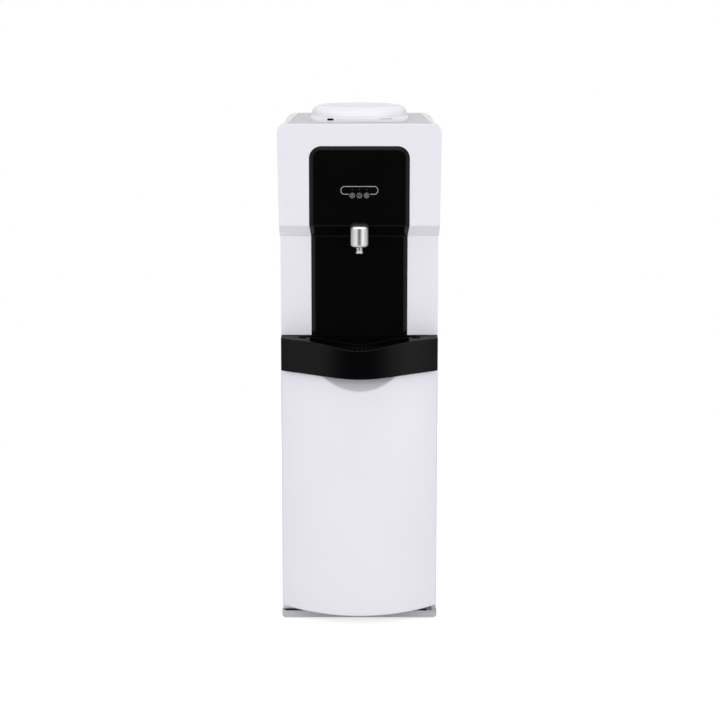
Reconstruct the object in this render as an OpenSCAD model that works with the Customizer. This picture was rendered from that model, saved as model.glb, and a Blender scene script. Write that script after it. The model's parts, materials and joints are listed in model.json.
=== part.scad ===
// Free-standing top-loading water dispenser with a storage bay, modelled in millimetres.
// X runs across the front, Y runs from the front to the back, Z is up.
// The origin lies on the floor, midway across the width and midway along the whole depth.

/* [Cabinet] */
// Width over the two steel side panels
cabinet_w = 310; // [304:1:330]
// Depth from the rear edges of the side panels to the face of the middle casing
cabinet_d = 288; // [284:1:310]
// Height of the storage bay, from the base plate to the deck plate
bay_h = 497.5; // [480:0.5:520]
// Sheet thickness of the side panels, rear panel and shelf
sheet_t = 0.8; // [0.6:0.1:1.5]
// Thickness of the base plate and the deck plate
plate_t = 1.5; // [1.2:0.1:2]
// Depth of the front frame that the door closes against
frame_t = 3; // [2.5:0.1:4]
// Width of the front frame's rails beside the bay
rail_w = 17; // [16:0.5:20]

/* [Base] */
// Height of the rubber feet
foot_h = 2; // [1.5:0.5:4]
// Radius of a foot
foot_r = 15; // [12:0.5:18]
// Height of the grey plinth
plinth_h = 14; // [12:0.5:18]
// How far the plinth stands out past each side panel
plinth_over = 1.5; // [1:0.5:12]
// How far the plinth stands ahead of the middle casing's face
plinth_fwd = 8; // [6:0.5:9]
// Wall thickness of the plinth
plinth_t = 3; // [2.5:0.1:4]

/* [Middle] */
// Height of the middle casing, from the tray housing to the head
mid_h = 198; // [190:1:210]
// Wall thickness of the white casings' flat fronts
casing_t = 2.5; // [2:0.1:3]

/* [Head] */
// Height of the head, from its lower edge to its top
head_h = 221; // [215:1:230]
// How far the head's face stands ahead of the middle casing's face
head_fwd = 27; // [24:0.5:30]
// Height of the sloping step under the head
step_h = 23; // [20:0.5:26]
// How far the head's lower edge stands out past each side panel
head_low_over = 1.5; // [1:0.25:12]
// How far the head's shoulders stand out past each side panel
head_high_over = 4.25; // [3:0.25:15]
// Radius of the front's top corners
head_corner_r = 17; // [14:0.5:20]
// Radius of the hood's shoulders behind the front
hood_r = 24; // [20:0.5:28]
// Height of the hood over the side panels
hood_h = 31; // [30:0.5:36]
// Wall thickness of the head
head_t = 3; // [2.6:0.1:3.4]

/* [Top] */
// Distance from the head's shoulder in to the top cover's front corner
cover_front_in = 17.75; // [16:0.25:24]
// Distance from the hood's side in to the top cover's rear corner
cover_rear_in = 30; // [26:0.5:36]
// Thickness of the top cover's lip
cover_lip_t = 1.5; // [1.2:0.1:1.8]
// Distance from the head's face back to the top cover
cover_fwd_in = 4; // [4:0.5:8]
// Distance from the top cover to the hood's rear edge
cover_back_in = 8; // [6:0.5:12]
// Seam around the top cover
cover_gap = 0.8; // [0.5:0.1:1]
// Diameter of the hole for the bottle seat
cover_hole_d = 160; // [157:0.5:164]

/* [Bottle seat] */
// Distance from the middle casing's face back to the seat's centre
seat_back = 137; // [132:1:142]
// Diameter of the collar that carries the bottle
seat_d = 192; // [186:1:198]
// Height of the collar above the top cover
seat_h = 26; // [24:0.5:30]
// Radius of the collar's rounded shoulder
seat_r = 18; // [14:0.5:20]
// Depth of the collar's square foot, front to back
seat_foot_d = 228; // [220:1:232]
// Height of the collar's square foot
seat_foot_h = 7; // [6:0.5:8]
// Wall thickness of the seat
seat_t = 3; // [2.5:0.1:3.5]
// Inner radius of the funnel's throat
throat_r = 28; // [26:0.5:30]

/* [Front panel] */
// Width of the black panel on the head
panel_high_w = 195.7; // [190:0.1:200]
// Width of the black panel below the head
panel_low_w = 189.5; // [184:0.1:192]
// Distance from the panel's top edge up to the head's top
panel_drop = 43; // [40:0.5:48]
// Thickness of the panel, which stands proud by as much
panel_t = 2.5; // [2:0.1:3]
// Radius of the panel's top corners
panel_r = 24; // [20:0.5:28]

/* [Buttons] */
// Distance from the head's top down to the button centres
button_drop = 138.5; // [135:0.5:145]
// Distance between neighbouring button centres
button_pitch = 13.9; // [13.6:0.1:15]
// Diameter of a button's cap
button_d = 11.3; // [10.8:0.1:11.6]
// How far a button's cap stands ahead of the panel
button_proud = 1; // [0.6:0.1:1.4]
// Travel of a button
button_travel = 1.5; // [1.2:0.1:1.6]
// Width of the thin outline around the buttons
outline_w = 73; // [70:0.5:76]
// Height of the thin outline
outline_h = 16.2; // [15:0.1:18]
// Breadth of the outline's line
outline_line = 1.2; // [0.8:0.1:1.6]

/* [Nozzle] */
// Distance from the middle casing's face forward to the nozzle's axis
nozzle_reach = 47; // [46:0.5:52]
// Diameter of the nozzle's body
nozzle_d = 35; // [32:0.5:37]
// Height of the nozzle's body
nozzle_h = 39.5; // [38:0.5:42]
// Height of the nozzle's top above the head's lower edge
nozzle_rise = 23.5; // [20:0.5:24]
// Radius of the nozzle's rounded ends
nozzle_round = 6; // [4:0.5:7]
// Length of the nozzle's tip
tip_h = 12.5; // [10:0.5:14]
// Diameter of the nozzle's tip
tip_d = 15; // [13:0.5:17]
// Diameter of the neck that carries the nozzle
neck_d = 12; // [11:0.5:12.5]
// Diameter of the water passages
water_bore = 8; // [6:0.5:9]

/* [Drip tray] */
// Height of the tray housing above the deck plate
tray_h = 66; // [62:0.5:70]
// How far the tray housing stands ahead of the middle casing's face
tray_reach = 80; // [78:1:84]
// Bow of the tray and the door, over their chord
bow = 45; // [40:1:48]
// Gap between the deck plate's level and the housing's lower edge at its sides
tray_lift = 1; // [1:0.1:2]
// Dip of the housing's rim at the middle
rim_dip = 17.5; // [14:0.5:19]
// Half breadth of the rim's dip
rim_dip_w = 70; // [60:1:76]
// Dip of the housing's lower edge at the middle
skirt_dip = 10; // [8:0.5:11]
// Half breadth of the lower edge's dip
skirt_dip_w = 85; // [75:1:90]
// Wall thickness of the tray housing
tray_t = 3; // [2.5:0.1:3.5]
// Width of the drip tray's recess
recess_w = 194; // [188:1:198]
// Thickness of the recess's front rim
recess_rim = 7; // [6:0.5:9]
// Height of the recess's floor above the deck plate
recess_floor = 9; // [8:0.5:11]
// Height of the drip tray
pan_h = 31; // [28:0.5:33]
// Wall thickness of the drip tray
pan_t = 2; // [1.6:0.1:2.4]
// Thickness of the drip grille
grille_t = 4; // [3:0.5:4.5]
// Width of a slot in the grille
grille_slot_w = 4.5; // [4:0.1:5]
// Distance between neighbouring slots
grille_pitch = 9; // [8:0.5:10]

/* [Door] */
// How far the door stands out past each side panel
door_over = 0.5; // [0:0.25:10]
// How far the door's middle stands ahead of the middle casing's face
door_reach = 60; // [58:1:62]
// Wall thickness of the door's outer shell
door_t = 2.5; // [2:0.1:3]
// Gap between the tray housing and the door
door_gap = 2; // [1.5:0.1:3]
// Height of the door's lower edge at its middle, above the plinth
door_clear = 4.3; // [3:0.1:6]
// Radius of the arch along the door's lower edge
door_arch_r = 1254; // [1100:10:1500]
// Distance from the door's edge to the hinge axis
hinge_in = 7; // [6:0.5:7.5]
// Distance from the door's back face forward to the hinge axis
hinge_fwd = 10; // [9.5:0.5:10.5]
// Diameter of a hinge pin
pin_d = 5; // [4:0.5:5.5]
// Length of a hinge pin inside the door
pin_grip = 14; // [12:0.5:16]
// Radius of the sphere that shapes the finger scoop
scoop_r = 166; // [150:1:180]
// Distance of that sphere's centre ahead of the door
scoop_fwd = 100; // [95:1:108]
// Depth of the scoop below the deck plate's top
scoop_drop = 37; // [33:0.5:40]
// Width of the door gasket
gasket_w = 8; // [7:0.5:9]

/* [Storage bay] */
// Wall thickness of the cabinet liner
liner_t = 2; // [1.6:0.1:2.5]
// Height of the liner's floor above the base plate
liner_floor_h = 24.5; // [23:0.5:28]
// Gap between the liner and the rear panel, for the lines
line_gap = 19; // [18:0.5:24]
// Height of the lower part of the bay, above the base plate
bay_low_h = 208.5; // [200:0.5:215]
// Height of the front frame above the bay's opening
frame_head_h = 19; // [18:0.5:30]

/* [Cold tank] */
// Outer diameter of the cold tank
cold_d = 150; // [144:1:152]
// Height of the cold tank
cold_h = 165; // [155:1:168]
// Wall thickness of both tanks
tank_t = 1.5; // [1.2:0.1:2]
// Distance from the head's top down to the cold tank's rim
cold_drop = 51; // [49:0.5:54]
// Diameter of the foam around the cold tank
foam_d = 196; // [190:1:200]
// Thickness of the foam under the cold tank
foam_floor = 14.5; // [12:0.5:16]
// Diameter of the evaporator tube
coil_tube_d = 6; // [5:0.5:6.5]
// Turns of the evaporator tube
coil_turns = 9; // [7:1:10]

/* [Hot tank] */
// Diameter of the hot tank
hot_d = 104; // [98:1:108]
// Height of the hot tank
hot_h = 157; // [150:1:160]
// Thickness of the jacket around the hot tank
jacket_t = 13.6; // [11:0.1:16]
// Height of the hot tank's stand
stand_h = 27; // [24:0.5:30]
// Gap between the hot tank's jacket and the rear panel
hot_gap = 32.1; // [31:0.1:40]

/* [Back] */
// Distance from the side panels' rear edges in to the rear panel
rear_inset = 16; // [15:0.5:18]
// Height of the compressor bay's opening, above the base plate
rear_open_h = 210; // [200:1:214]
// Diameter of the condenser tube
condenser_tube_d = 5; // [4:0.5:5.5]
// Number of condenser passes
condenser_passes = 14; // [10:1:16]
// Number of condenser wires on each side
condenser_wires_n = 22; // [16:1:26]

/* [Compressor] */
// Diameter of the compressor's pot
pot_d = 116; // [108:1:118]
// Height of the compressor's pot
pot_h = 132; // [124:1:136]
// Gap between the pot and the liner
pot_gap = 10; // [8:0.5:16]
// Distance from the pot back to the rear panel's level
pot_back = 13; // [10:0.5:20]

/* [Hidden] */

$fn = 64;
// Air between pieces that don't touch, and radial play of a running fit
clear = 0.3;
fit = 0.05;
// Overshoot of a cutting tool past the face that it cuts
over = 1;

half_w = cabinet_w / 2;
plinth_w = cabinet_w + 2 * plinth_over;
head_low_w = cabinet_w + 2 * head_low_over;
head_high_w = cabinet_w + 2 * head_high_over;
cover_front_w = head_high_w - 2 * cover_front_in;
cover_rear_w = cabinet_w - 2 * cover_rear_in;
door_w = cabinet_w + 2 * door_over;
tray_w = cabinet_w - 1;
// Along Y: the whole depth runs from the tray's front to the side panels' rear edges
y_rear = (cabinet_d + tray_reach) / 2;
y_face = y_rear - cabinet_d;
y_head = y_face - head_fwd;
y_frame = y_face + frame_t;
y_body = y_frame + frame_t;
y_back = y_rear - rear_inset;
y_seat = y_face + seat_back;
y_nozzle = y_face - nozzle_reach;
y_tray = y_face - tray_reach;
y_door = y_face - door_reach;
y_hot = y_back - hot_gap - jacket_t - clear - hot_d / 2;
pot_y = y_back - pot_back - pot_d / 2;
// Front edge of the tank shelf, and where the feet stand
y_shelf = y_face + 32;
foot_in = 35;
foot_fwd = 24;
// Along Z
z_plate = foot_h + plinth_h;
z_bay = z_plate + plate_t;
z_deck = z_bay + bay_h;
z_work = z_deck + plate_t;
z_mid = z_work + tray_h;
z_step = z_mid + mid_h;
z_chin = z_step + step_h;
z_head = z_step + head_h;
z_hood = z_head - hood_h;
z_top = z_head + seat_h;
z_panel = z_head - panel_drop;
z_button = z_head - button_drop;
z_nozzle = z_step + nozzle_rise - nozzle_h;
z_tip = z_nozzle - tip_h;
z_neck = z_step - neck_d / 2 - 2;
z_rim = z_head - cold_drop;
z_cold = z_rim - cold_h;
z_shelf = z_cold - foam_floor - sheet_t;
z_hot = z_work + stand_h;
z_hot_top = z_hot + hot_h;
z_pan = z_work + recess_floor;
z_skirt = z_work + tray_lift;
z_door = z_plate + door_clear;
z_rear_open = z_bay + rear_open_h;

// The arc shared by the tray housing and the door
bow_half = half_w - 2;
bow_r = (bow_half * bow_half + bow * bow) / (2 * bow);
function bell(x, w) = exp(-(x * x) / (w * w));
function lip_y(x, reach) = y_face - reach + bow_r - sqrt(bow_r * bow_r - x * x);

// Slots in the tray's side strips
slot_w = 14;
slot_x = recess_w / 2 + 15;

// Hinge axis
hinge_x = door_w / 2 - hinge_in;
hinge_y = y_face - hinge_fwd;
pin_r = pin_d / 2;
// Level of the door's lower edge at the hinge, and its fall across the hinge's collar
z_pin_low = z_door + door_arch_r - sqrt(door_arch_r * door_arch_r - hinge_x * hinge_x);
collar_r = pin_r + 2;
collar_fall = collar_r * hinge_x / door_arch_r;
door_liner_t = 2;

// Clear half width of the bay's opening, and the liner's outer half width
open_half = half_w - rail_w;
liner_half = open_half + liner_t;
z_liner_floor = z_bay + liner_floor_h;
z_hump = z_bay + bay_low_h;
z_open_top = z_deck - frame_head_h;
y_low_back = pot_y - pot_d / 2 - pot_gap - liner_t;
y_high_back = y_back - line_gap - liner_t;

// Places of the tank's outlets, measured from the tank's centre
cold_out = [45, -50];
ambient_out = [0, -65];
stub_r = water_bore / 2;
stub_wall = 1.5;
hot_out = [-30, -30];
hot_in = [20, 20];
coil_r = cold_d / 2 + 1.3 + coil_tube_d / 2;
coil_low = z_cold + 12;
coil_pitch = (cold_h - 40) / coil_turns;
foam_in_r = coil_r + coil_tube_d / 2 + 0.6;
tail_r = coil_r + coil_tube_d + 2;
tail_angle = 60;
coil_in = [7, coil_r];
coil_out = tail_r * [-sin(tail_angle + 3), cos(tail_angle + 3)];
z_coil_top = coil_low + coil_pitch * coil_turns;
foam_top = z_rim - 3;

// Valves and manifold behind the middle casing
valve_pitch = 45;
valve_w = 26;
valve_h = 24;
valve_d = 26;
valve_y = y_body + 1.5;
valve_z = z_neck - 47;
manifold_h = 14;
bracket_t = 1.5;
bracket_levels = [valve_z - 30, valve_z + valve_h - 6];

// Level of the hot hose where it passes under the tank shelf
z_hot_hose = z_shelf - 18.7;

// Board behind the buttons
board_boss_x = 37;
board_boss_z = [z_button - 15, z_button + 22];
y_board = y_head + 10;

// Screws, cooling slots and cord gland of the rear panel
screw_levels = [z_rear_open + 16, z_deck - 40, z_work + 180, z_hood - 60];
screw_x = half_w - 10;
vent_low = 60;
vent_rise = 24;
vent_h = 4;
vent_w = 52;
vent_pitch = 75;
gland_x = 35 - half_w;

// Routes, in the gap between the liner and the rear panel
y_gap = y_high_back + liner_t + 9;
drain_x = 60;
drain_z = z_bay + 240;
suction_x = -60;
liquid_x = -100;
dryer_pos = [-110, y_back - 24, z_bay + 100];
grommet_h = 12;
grommet_places = [for (sx = [-1, 1], sy = [-1, 1]) [sx * 72, pot_y + sy * 36]];
condenser_y = y_back + sheet_t + 3.5 + condenser_tube_d / 2;
condenser_in = 37;
condenser_half = half_w - condenser_in;
condenser_foot = 290;
condenser_drop = 80;
condenser_low = z_bay + condenser_foot;
condenser_rise = (z_hood - condenser_drop - condenser_low) / (condenser_passes - 1);

// Rear switches
switch_x = [half_w - 85, half_w - 55];
switch_z = z_hood - 34;
switch_tilt = 8;

white = "whitesmoke";
black = [0.05, 0.05, 0.055];

// Extrudes an outline drawn in X and Z along Y, from y0 to y1
module along_y(y0, y1) {
    translate([0, y1, 0]) rotate([90, 0, 0]) linear_extrude(height = y1 - y0) children();
}

// Extrudes an outline drawn in Y and Z along X, from x0 to x1
module along_x(x0, x1) {
    translate([x0, 0, 0]) rotate([90, 0, 90]) linear_extrude(height = x1 - x0) children();
}

// A box given by its low and high corners
module block(low, high) {
    translate(low) cube(high - low);
}

// A ring or tube standing on z0
module ring(r_out, r_in, z0, z1) {
    translate([0, 0, z0]) difference() {
        cylinder(r = r_out, h = z1 - z0);
        translate([0, 0, -over]) cylinder(r = r_in, h = z1 - z0 + 2 * over);
    }
}

// A rod along Y
module rod_y(r, y0, y1) {
    translate([0, y1, 0]) rotate([90, 0, 0]) cylinder(r = r, h = y1 - y0);
}

// A rectangle with round corners, centred
module rounded_rect(w, d, r) {
    square([w - 2 * r, d], center = true);
    square([w, d - 2 * r], center = true);
    for (sx = [-1, 1], sy = [-1, 1])
        translate([sx * (w / 2 - r), sy * (d / 2 - r)]) circle(r = r);
}

// Plan of a bowed front: an arc ahead, straight sides, and a flat back at y1
module bow_plan(w, reach, y1, inset = 0) {
    intersection() {
        translate([0, y_face - reach + bow_r]) circle(r = bow_r - inset, $fn = 240);
        translate([-w / 2 + inset, y_face - reach - over])
            square([w - 2 * inset, y1 - y_face + reach + over]);
    }
}

// Front outline of the head, with round top corners
module head_outline(low_half, high_half, z0, z1, r) {
    polygon([[-low_half, z0], [low_half, z0], [high_half, z1 - r], [high_half - r, z1],
        [r - high_half, z1], [-high_half, z1 - r]]);
    intersection() {
        for (s = [-1, 1]) translate([s * (high_half - r), z1 - r]) circle(r = r);
        translate([-high_half, z1 - r]) square([2 * high_half, r]);
    }
}

// Smoothed route through hand-chosen points
function curve_pt(p0, p1, p2, p3, t) = 0.5 * ((2 * p1) + (p2 - p0) * t
    + (2 * p0 - 5 * p1 + 4 * p2 - p3) * t * t + (3 * p1 - p0 - 3 * p2 + p3) * t * t * t);
function smooth(p, n = 4) = [
    for (i = [0:len(p) - 2], k = [0:n - 1])
        curve_pt(p[max(i - 1, 0)], p[i], p[i + 1], p[min(i + 2, len(p) - 1)], k / n),
    p[len(p) - 1]];
function unit(v) = v / norm(v);
function tangent(p, i) = unit(p[min(i + 1, len(p) - 1)] - p[max(i - 1, 0)]);
function side_of(t, ref) = unit(cross(t, ref));

// A tube swept along a route: one closed mesh with flat ends
module tube(route, r, ref = [0.31, 0.17, 0.94], sides = 8) {
    n = len(route);
    rings = [for (i = [0:n - 1])
        let (t = tangent(route, i), u = side_of(t, ref), v = cross(t, u))
        for (k = [0:sides - 1])
            route[i] + r * (cos(360 * k / sides) * u + sin(360 * k / sides) * v)];
    walls = [for (i = [0:n - 2], k = [0:sides - 1])
        let (a = i * sides + k, b = i * sides + (k + 1) % sides)
        each [[a, b, b + sides], [a, b + sides, a + sides]]];
    low_end = [for (k = [1:sides - 2]) [0, k + 1, k]];
    high_end = [for (k = [1:sides - 2]) (n - 1) * sides * [1, 1, 1] + [0, k, k + 1]];
    polyhedron(points = rings, faces = concat([for (f = walls) [f[0], f[2], f[1]]],
        [for (f = low_end) [f[0], f[2], f[1]]], [for (f = high_end) [f[0], f[2], f[1]]]));
}

module feet() {
    color("dimgray")
    for (sx = [-1, 1], y = [y_face + foot_fwd, y_rear - foot_in])
        translate([sx * (half_w - foot_in), y, 0]) rotate_extrude()
            polygon([[0, 0], [foot_r - 1, 0], [foot_r, 1], [foot_r, foot_h], [0, foot_h]]);
}

module base_plinth() {
    round_r = 6;
    color([0.68, 0.675, 0.685])
    difference() {
        along_y(y_face - plinth_fwd, y_rear) {
            translate([-plinth_w / 2 + round_r, foot_h]) square([plinth_w - 2 * round_r, plinth_h]);
            translate([-plinth_w / 2, foot_h + round_r]) square([plinth_w, plinth_h - round_r]);
            for (s = [-1, 1])
                translate([s * (plinth_w / 2 - round_r), foot_h + round_r]) circle(r = round_r);
        }
        block([-plinth_w / 2 + round_r, y_face - plinth_fwd + plinth_t, foot_h + plinth_t],
            [plinth_w / 2 - round_r, y_rear - plinth_t, z_plate + over]);
    }
}

module base_plate() {
    color("lightgray") {
        block([-half_w, y_frame, z_plate], [half_w, y_rear, z_bay]);
        for (p = grommet_places)
            translate([p[0], p[1], z_bay]) cylinder(r = 4, h = grommet_h + 5);
    }
}

module side_panel(side) {
    z1 = z_hood;
    mirror([side < 0 ? 1 : 0, 0, 0]) {
        block([half_w - sheet_t, y_body, z_bay], [half_w, y_rear, z1]);
        block([half_w - 8, y_body, z_bay], [half_w, y_body + sheet_t, z1]);
        block([half_w - 14, y_rear - sheet_t, z_bay], [half_w, y_rear, z1]);
        block([half_w - 10, y_body, z_bay], [half_w, y_rear, z_bay + sheet_t]);
    }
}

module side_panel_left() {
    color("white") side_panel(-1);
}

module side_panel_right() {
    color("white") side_panel(1);
}

module cabinet_liner() {
    color("ghostwhite")
    difference() {
        union() {
            block([-half_w, y_frame, z_bay], [half_w, y_body, z_deck]);
            block([-liner_half, y_frame, z_liner_floor - liner_t],
                [liner_half, y_low_back + liner_t, z_hump + liner_t]);
            block([-liner_half, y_frame, z_hump],
                [liner_half, y_high_back + liner_t, z_open_top + liner_t]);
        }
        block([-open_half, y_frame - over, z_liner_floor],
            [open_half, y_low_back, z_hump + liner_t + over]);
        block([-open_half, y_frame - over, z_hump + liner_t],
            [open_half, y_high_back, z_open_top]);
        // Notch for the lower hinge bracket
        block([open_half - 4, y_frame - over, z_bay - over],
            [half_w + over, y_body + over, z_bay + 3]);
    }
}

module deck_plate() {
    color("silver")
    difference() {
        union() {
            block([clear + sheet_t - half_w, y_body + sheet_t + clear, z_deck],
                [half_w - sheet_t - clear, y_back - clear, z_work]);
            block([9 - half_w, y_frame, z_deck], [half_w - 9, y_body + 2 * sheet_t, z_work]);
        }
        for (x = [drain_x, suction_x, liquid_x])
            translate([x, y_gap, z_deck - over]) cylinder(r = 6.5, h = plate_t + 2 * over);
    }
}

module tank_shelf() {
    reach = half_w - sheet_t - clear;
    color("silver")
    difference() {
        union() {
            block([-reach, y_shelf, z_shelf], [reach, y_back - 18, z_shelf + sheet_t]);
            for (s = [-1, 1])
                block([s * reach - (s + 1) / 2 * sheet_t, y_shelf, z_shelf - 14],
                    [s * reach + (1 - s) / 2 * sheet_t, y_back - 18, z_shelf + sheet_t]);
        }
        translate([0, y_seat, z_shelf - over]) {
            for (p = [cold_out, ambient_out, [0, 0]])
                translate([p[0], p[1], 0])
                    cylinder(r = stub_r + stub_wall + clear, h = sheet_t + 2 * over);
            for (p = [coil_in, coil_out])
                translate([p[0], p[1], 0])
                    cylinder(r = coil_tube_d / 2 + 1.5, h = sheet_t + 2 * over);
        }
    }
}

module rear_panel() {
    reach = half_w - sheet_t - clear;
    color("gainsboro")
    difference() {
        union() {
            block([-reach, y_back, z_rear_open], [reach, y_back + sheet_t, z_hood]);
            for (s = [-1, 1])
                block([s * reach - (s + 1) / 2 * sheet_t, y_back, z_rear_open],
                    [s * reach + (1 - s) / 2 * sheet_t, y_back + 11, z_hood]);
            block([-reach, y_back, z_hood - sheet_t], [reach, y_rear - sheet_t - clear, z_hood]);
        }
        // Cooling slots, three columns of twelve
        for (col = [-1:1], row = [0:11])
            translate([col * vent_pitch, y_back, z_work + vent_low + row * vent_rise])
                block([-vent_w / 2, -over, 0], [vent_w / 2, sheet_t + over, vent_h]);
        for (x = switch_x)
            block([x - 7.2, y_back - over, switch_z - 10.2],
                [x + 7.2, y_back + sheet_t + over, switch_z + 10.2]);
        translate([drain_x, 0, drain_z]) rod_y(7.2, y_back - over, y_back + sheet_t + over);
        translate([gland_x, 0, drain_z]) rod_y(8, y_back - over, y_back + sheet_t + over);
        for (s = [-1, 1], z = screw_levels)
            translate([s * screw_x, 0, z]) rod_y(2.1, y_back - over, y_back + sheet_t + over);
    }
}

module rear_screws() {
    color("silver")
    for (s = [-1, 1], z = screw_levels)
        translate([s * screw_x, 0, z]) {
            difference() {
                rod_y(4, y_back + sheet_t, y_back + sheet_t + 2.2);
                for (a = [0, 90])
                    rotate([0, a, 0]) block([-2.5, y_back + sheet_t + 1.2, -0.5],
                        [2.5, y_back + sheet_t + 3, 0.5]);
            }
            rod_y(1.9, y_back - 5, y_back + sheet_t);
        }
}

module head_casing() {
    lh = head_low_w / 2;
    hh = head_high_w / 2;
    t = head_t;
    slope = step_h / head_fwd;
    lift = t * sqrt(1 + slope * slope);
    color(white)
    difference() {
        union() {
            intersection() {
                along_y(y_head, y_body) head_outline(lh, hh, z_step, z_head, head_corner_r);
                along_x(-hh - over, hh + over)
                    polygon([[y_head, z_chin], [y_head, z_head], [y_body, z_head],
                        [y_body, z_step], [y_face, z_step]]);
            }
            along_y(y_body, y_rear) head_outline(half_w, half_w, z_hood, z_head, hood_r);
            // Bosses for the control board
            for (sx = [-1, 1], z = board_boss_z)
                translate([sx * board_boss_x, 0, z]) rod_y(3.5, y_head + t / 2, y_board);
        }
        difference() {
            intersection() {
                along_y(y_head + t, y_body + over)
                    head_outline(lh - t, hh - t, z_step - over, z_head - t, head_corner_r - t);
                along_x(-hh, hh)
                    polygon([[y_head + t, z_chin + lift - t * slope], [y_head + t, z_head],
                        [y_body + 2 * over, z_head], [y_body + 2 * over, z_step - 2 * over],
                        [y_head + (step_h + lift + 2 * over) / slope, z_step - 2 * over]]);
            }
            for (sx = [-1, 1], z = board_boss_z)
                translate([sx * board_boss_x, 0, z]) rod_y(3.5, y_head + t / 2, y_board);
        }
        along_y(y_body - over, y_rear - t)
            head_outline(half_w - t, half_w - t, z_hood - over, z_head - t, hood_r - t);
        // Window behind the buttons
        block([-28, y_head - over, z_button - 13], [28, y_head + t + over, z_button + 15]);
        // Opening and ledge for the top cover
        translate([0, 0, z_head - t - over]) linear_extrude(height = t + 2 * over) cover_plan(6);
        translate([0, 0, z_head - cover_lip_t]) linear_extrude(height = t) cover_plan(0);
    }
}

// Plan of the top cover, drawn in from its edges by inset
module cover_plan(inset) {
    y0 = y_head + cover_fwd_in;
    y1 = y_rear - cover_back_in;
    polygon([[inset - cover_front_w / 2, y0 + inset], [cover_front_w / 2 - inset, y0 + inset],
        [cover_rear_w / 2 - inset, y1 - inset], [inset - cover_rear_w / 2, y1 - inset]]);
}

module top_cover() {
    color("gainsboro")
    difference() {
        union() {
            translate([0, 0, z_head - cover_lip_t]) linear_extrude(height = cover_lip_t)
                cover_plan(cover_gap);
            translate([0, 0, z_head - head_t - 1]) linear_extrude(height = head_t + 1 - cover_lip_t)
                cover_plan(6 + cover_gap);
        }
        translate([0, y_seat, z_head - head_t - 2]) cylinder(d = cover_hole_d, h = head_t + 4, $fn = 96);
    }
}

module mid_casing() {
    color(white)
    difference() {
        union() {
            block([-half_w, y_face, z_mid], [half_w, y_face + casing_t, z_step]);
            for (s = [-1, 1])
                block([s * half_w - (s + 1) / 2 * casing_t, y_face, z_mid],
                    [s * half_w + (1 - s) / 2 * casing_t, y_body, z_step]);
            for (sx = [-1, 1], z = bracket_levels)
                translate([sx * 56, 0, z]) rod_y(4, y_face, valve_y - bracket_t);
        }
        translate([0, 0, z_neck]) rod_y(neck_d / 2 + clear, y_face - over, y_body);
    }
}

// Front outline of the black panel
module panel_outline() {
    hw = panel_high_w / 2;
    lw = panel_low_w / 2;
    polygon([[-lw, z_mid], [lw, z_mid], [lw, z_step], [hw, z_chin], [hw, z_panel - panel_r],
        [hw - panel_r, z_panel], [panel_r - hw, z_panel], [-hw, z_panel - panel_r],
        [-hw, z_chin], [-lw, z_step]]);
    for (s = [-1, 1]) translate([s * (hw - panel_r), z_panel - panel_r]) circle(r = panel_r);
}

module front_panel() {
    y0 = y_head - panel_t;
    color(black)
    difference() {
        intersection() {
            along_y(y0, y_face) panel_outline();
            along_x(-panel_high_w, panel_high_w)
                polygon([[y0, z_head], [y_head, z_head], [y_head, z_chin], [y_face, z_step],
                    [y_face, z_mid], [y_face - panel_t, z_mid], [y_face - panel_t, z_step],
                    [y0, z_chin]]);
        }
        for (i = [-1:1])
            translate([i * button_pitch, 0, z_button])
                rod_y(button_d / 2 + 0.15, y0 - over, y_head + over);
        translate([0, 0, z_neck]) rod_y(neck_d / 2 + clear, y_face - 2 * panel_t, y_face + over);
    }
}

// Thin printed outline: a rounded loop, open below the three buttons
module button_outline() {
    z_mid_line = z_button + button_d / 2 + outline_h / 2 - 3.75;
    gap_half = 1.5 * button_pitch;
    color("lightgray")
    along_y(y_head - panel_t - 0.3, y_head - panel_t)
    translate([0, z_mid_line])
    difference() {
        rounded_rect(outline_w, outline_h, outline_h / 2 - 0.6);
        rounded_rect(outline_w - 2 * outline_line, outline_h - 2 * outline_line,
            outline_h / 2 - 0.6 - outline_line);
        translate([-gap_half, -outline_h]) square([2 * gap_half, outline_h]);
    }
}

module button(place) {
    flange_r = button_d / 2 + 0.8;
    color(black)
    translate([place * button_pitch, 0, z_button]) {
        rod_y(button_d / 2, y_head - panel_t - button_proud, y_head + clear);
        rod_y(flange_r, y_head + clear, y_head + clear + 1.2);
        rod_y(2.5, y_head + clear + 1.2, y_board - 3.5 - button_travel - 0.2);
    }
}

module button_cold() {
    button(-1);
}

module button_ambient() {
    button(0);
}

module button_hot() {
    button(1);
}

module control_board() {
    color("darkgreen")
    block([-42, y_board, z_button - 20], [42, y_board + 1.6, z_button + 27]);
    color("dimgray") {
        for (i = [-1:1])
            block([i * button_pitch - 3, y_board - 3.5, z_button - 3],
                [i * button_pitch + 3, y_board, z_button + 3]);
        block([-36, y_board + 1.6, z_button - 14], [-22, y_board + 9, z_button + 18]);
        block([-14, y_board + 1.6, z_button - 10], [10, y_board + 5, z_button + 6]);
        block([20, y_board + 1.6, z_button - 12], [34, y_board + 12, z_button + 12]);
    }
}

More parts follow.
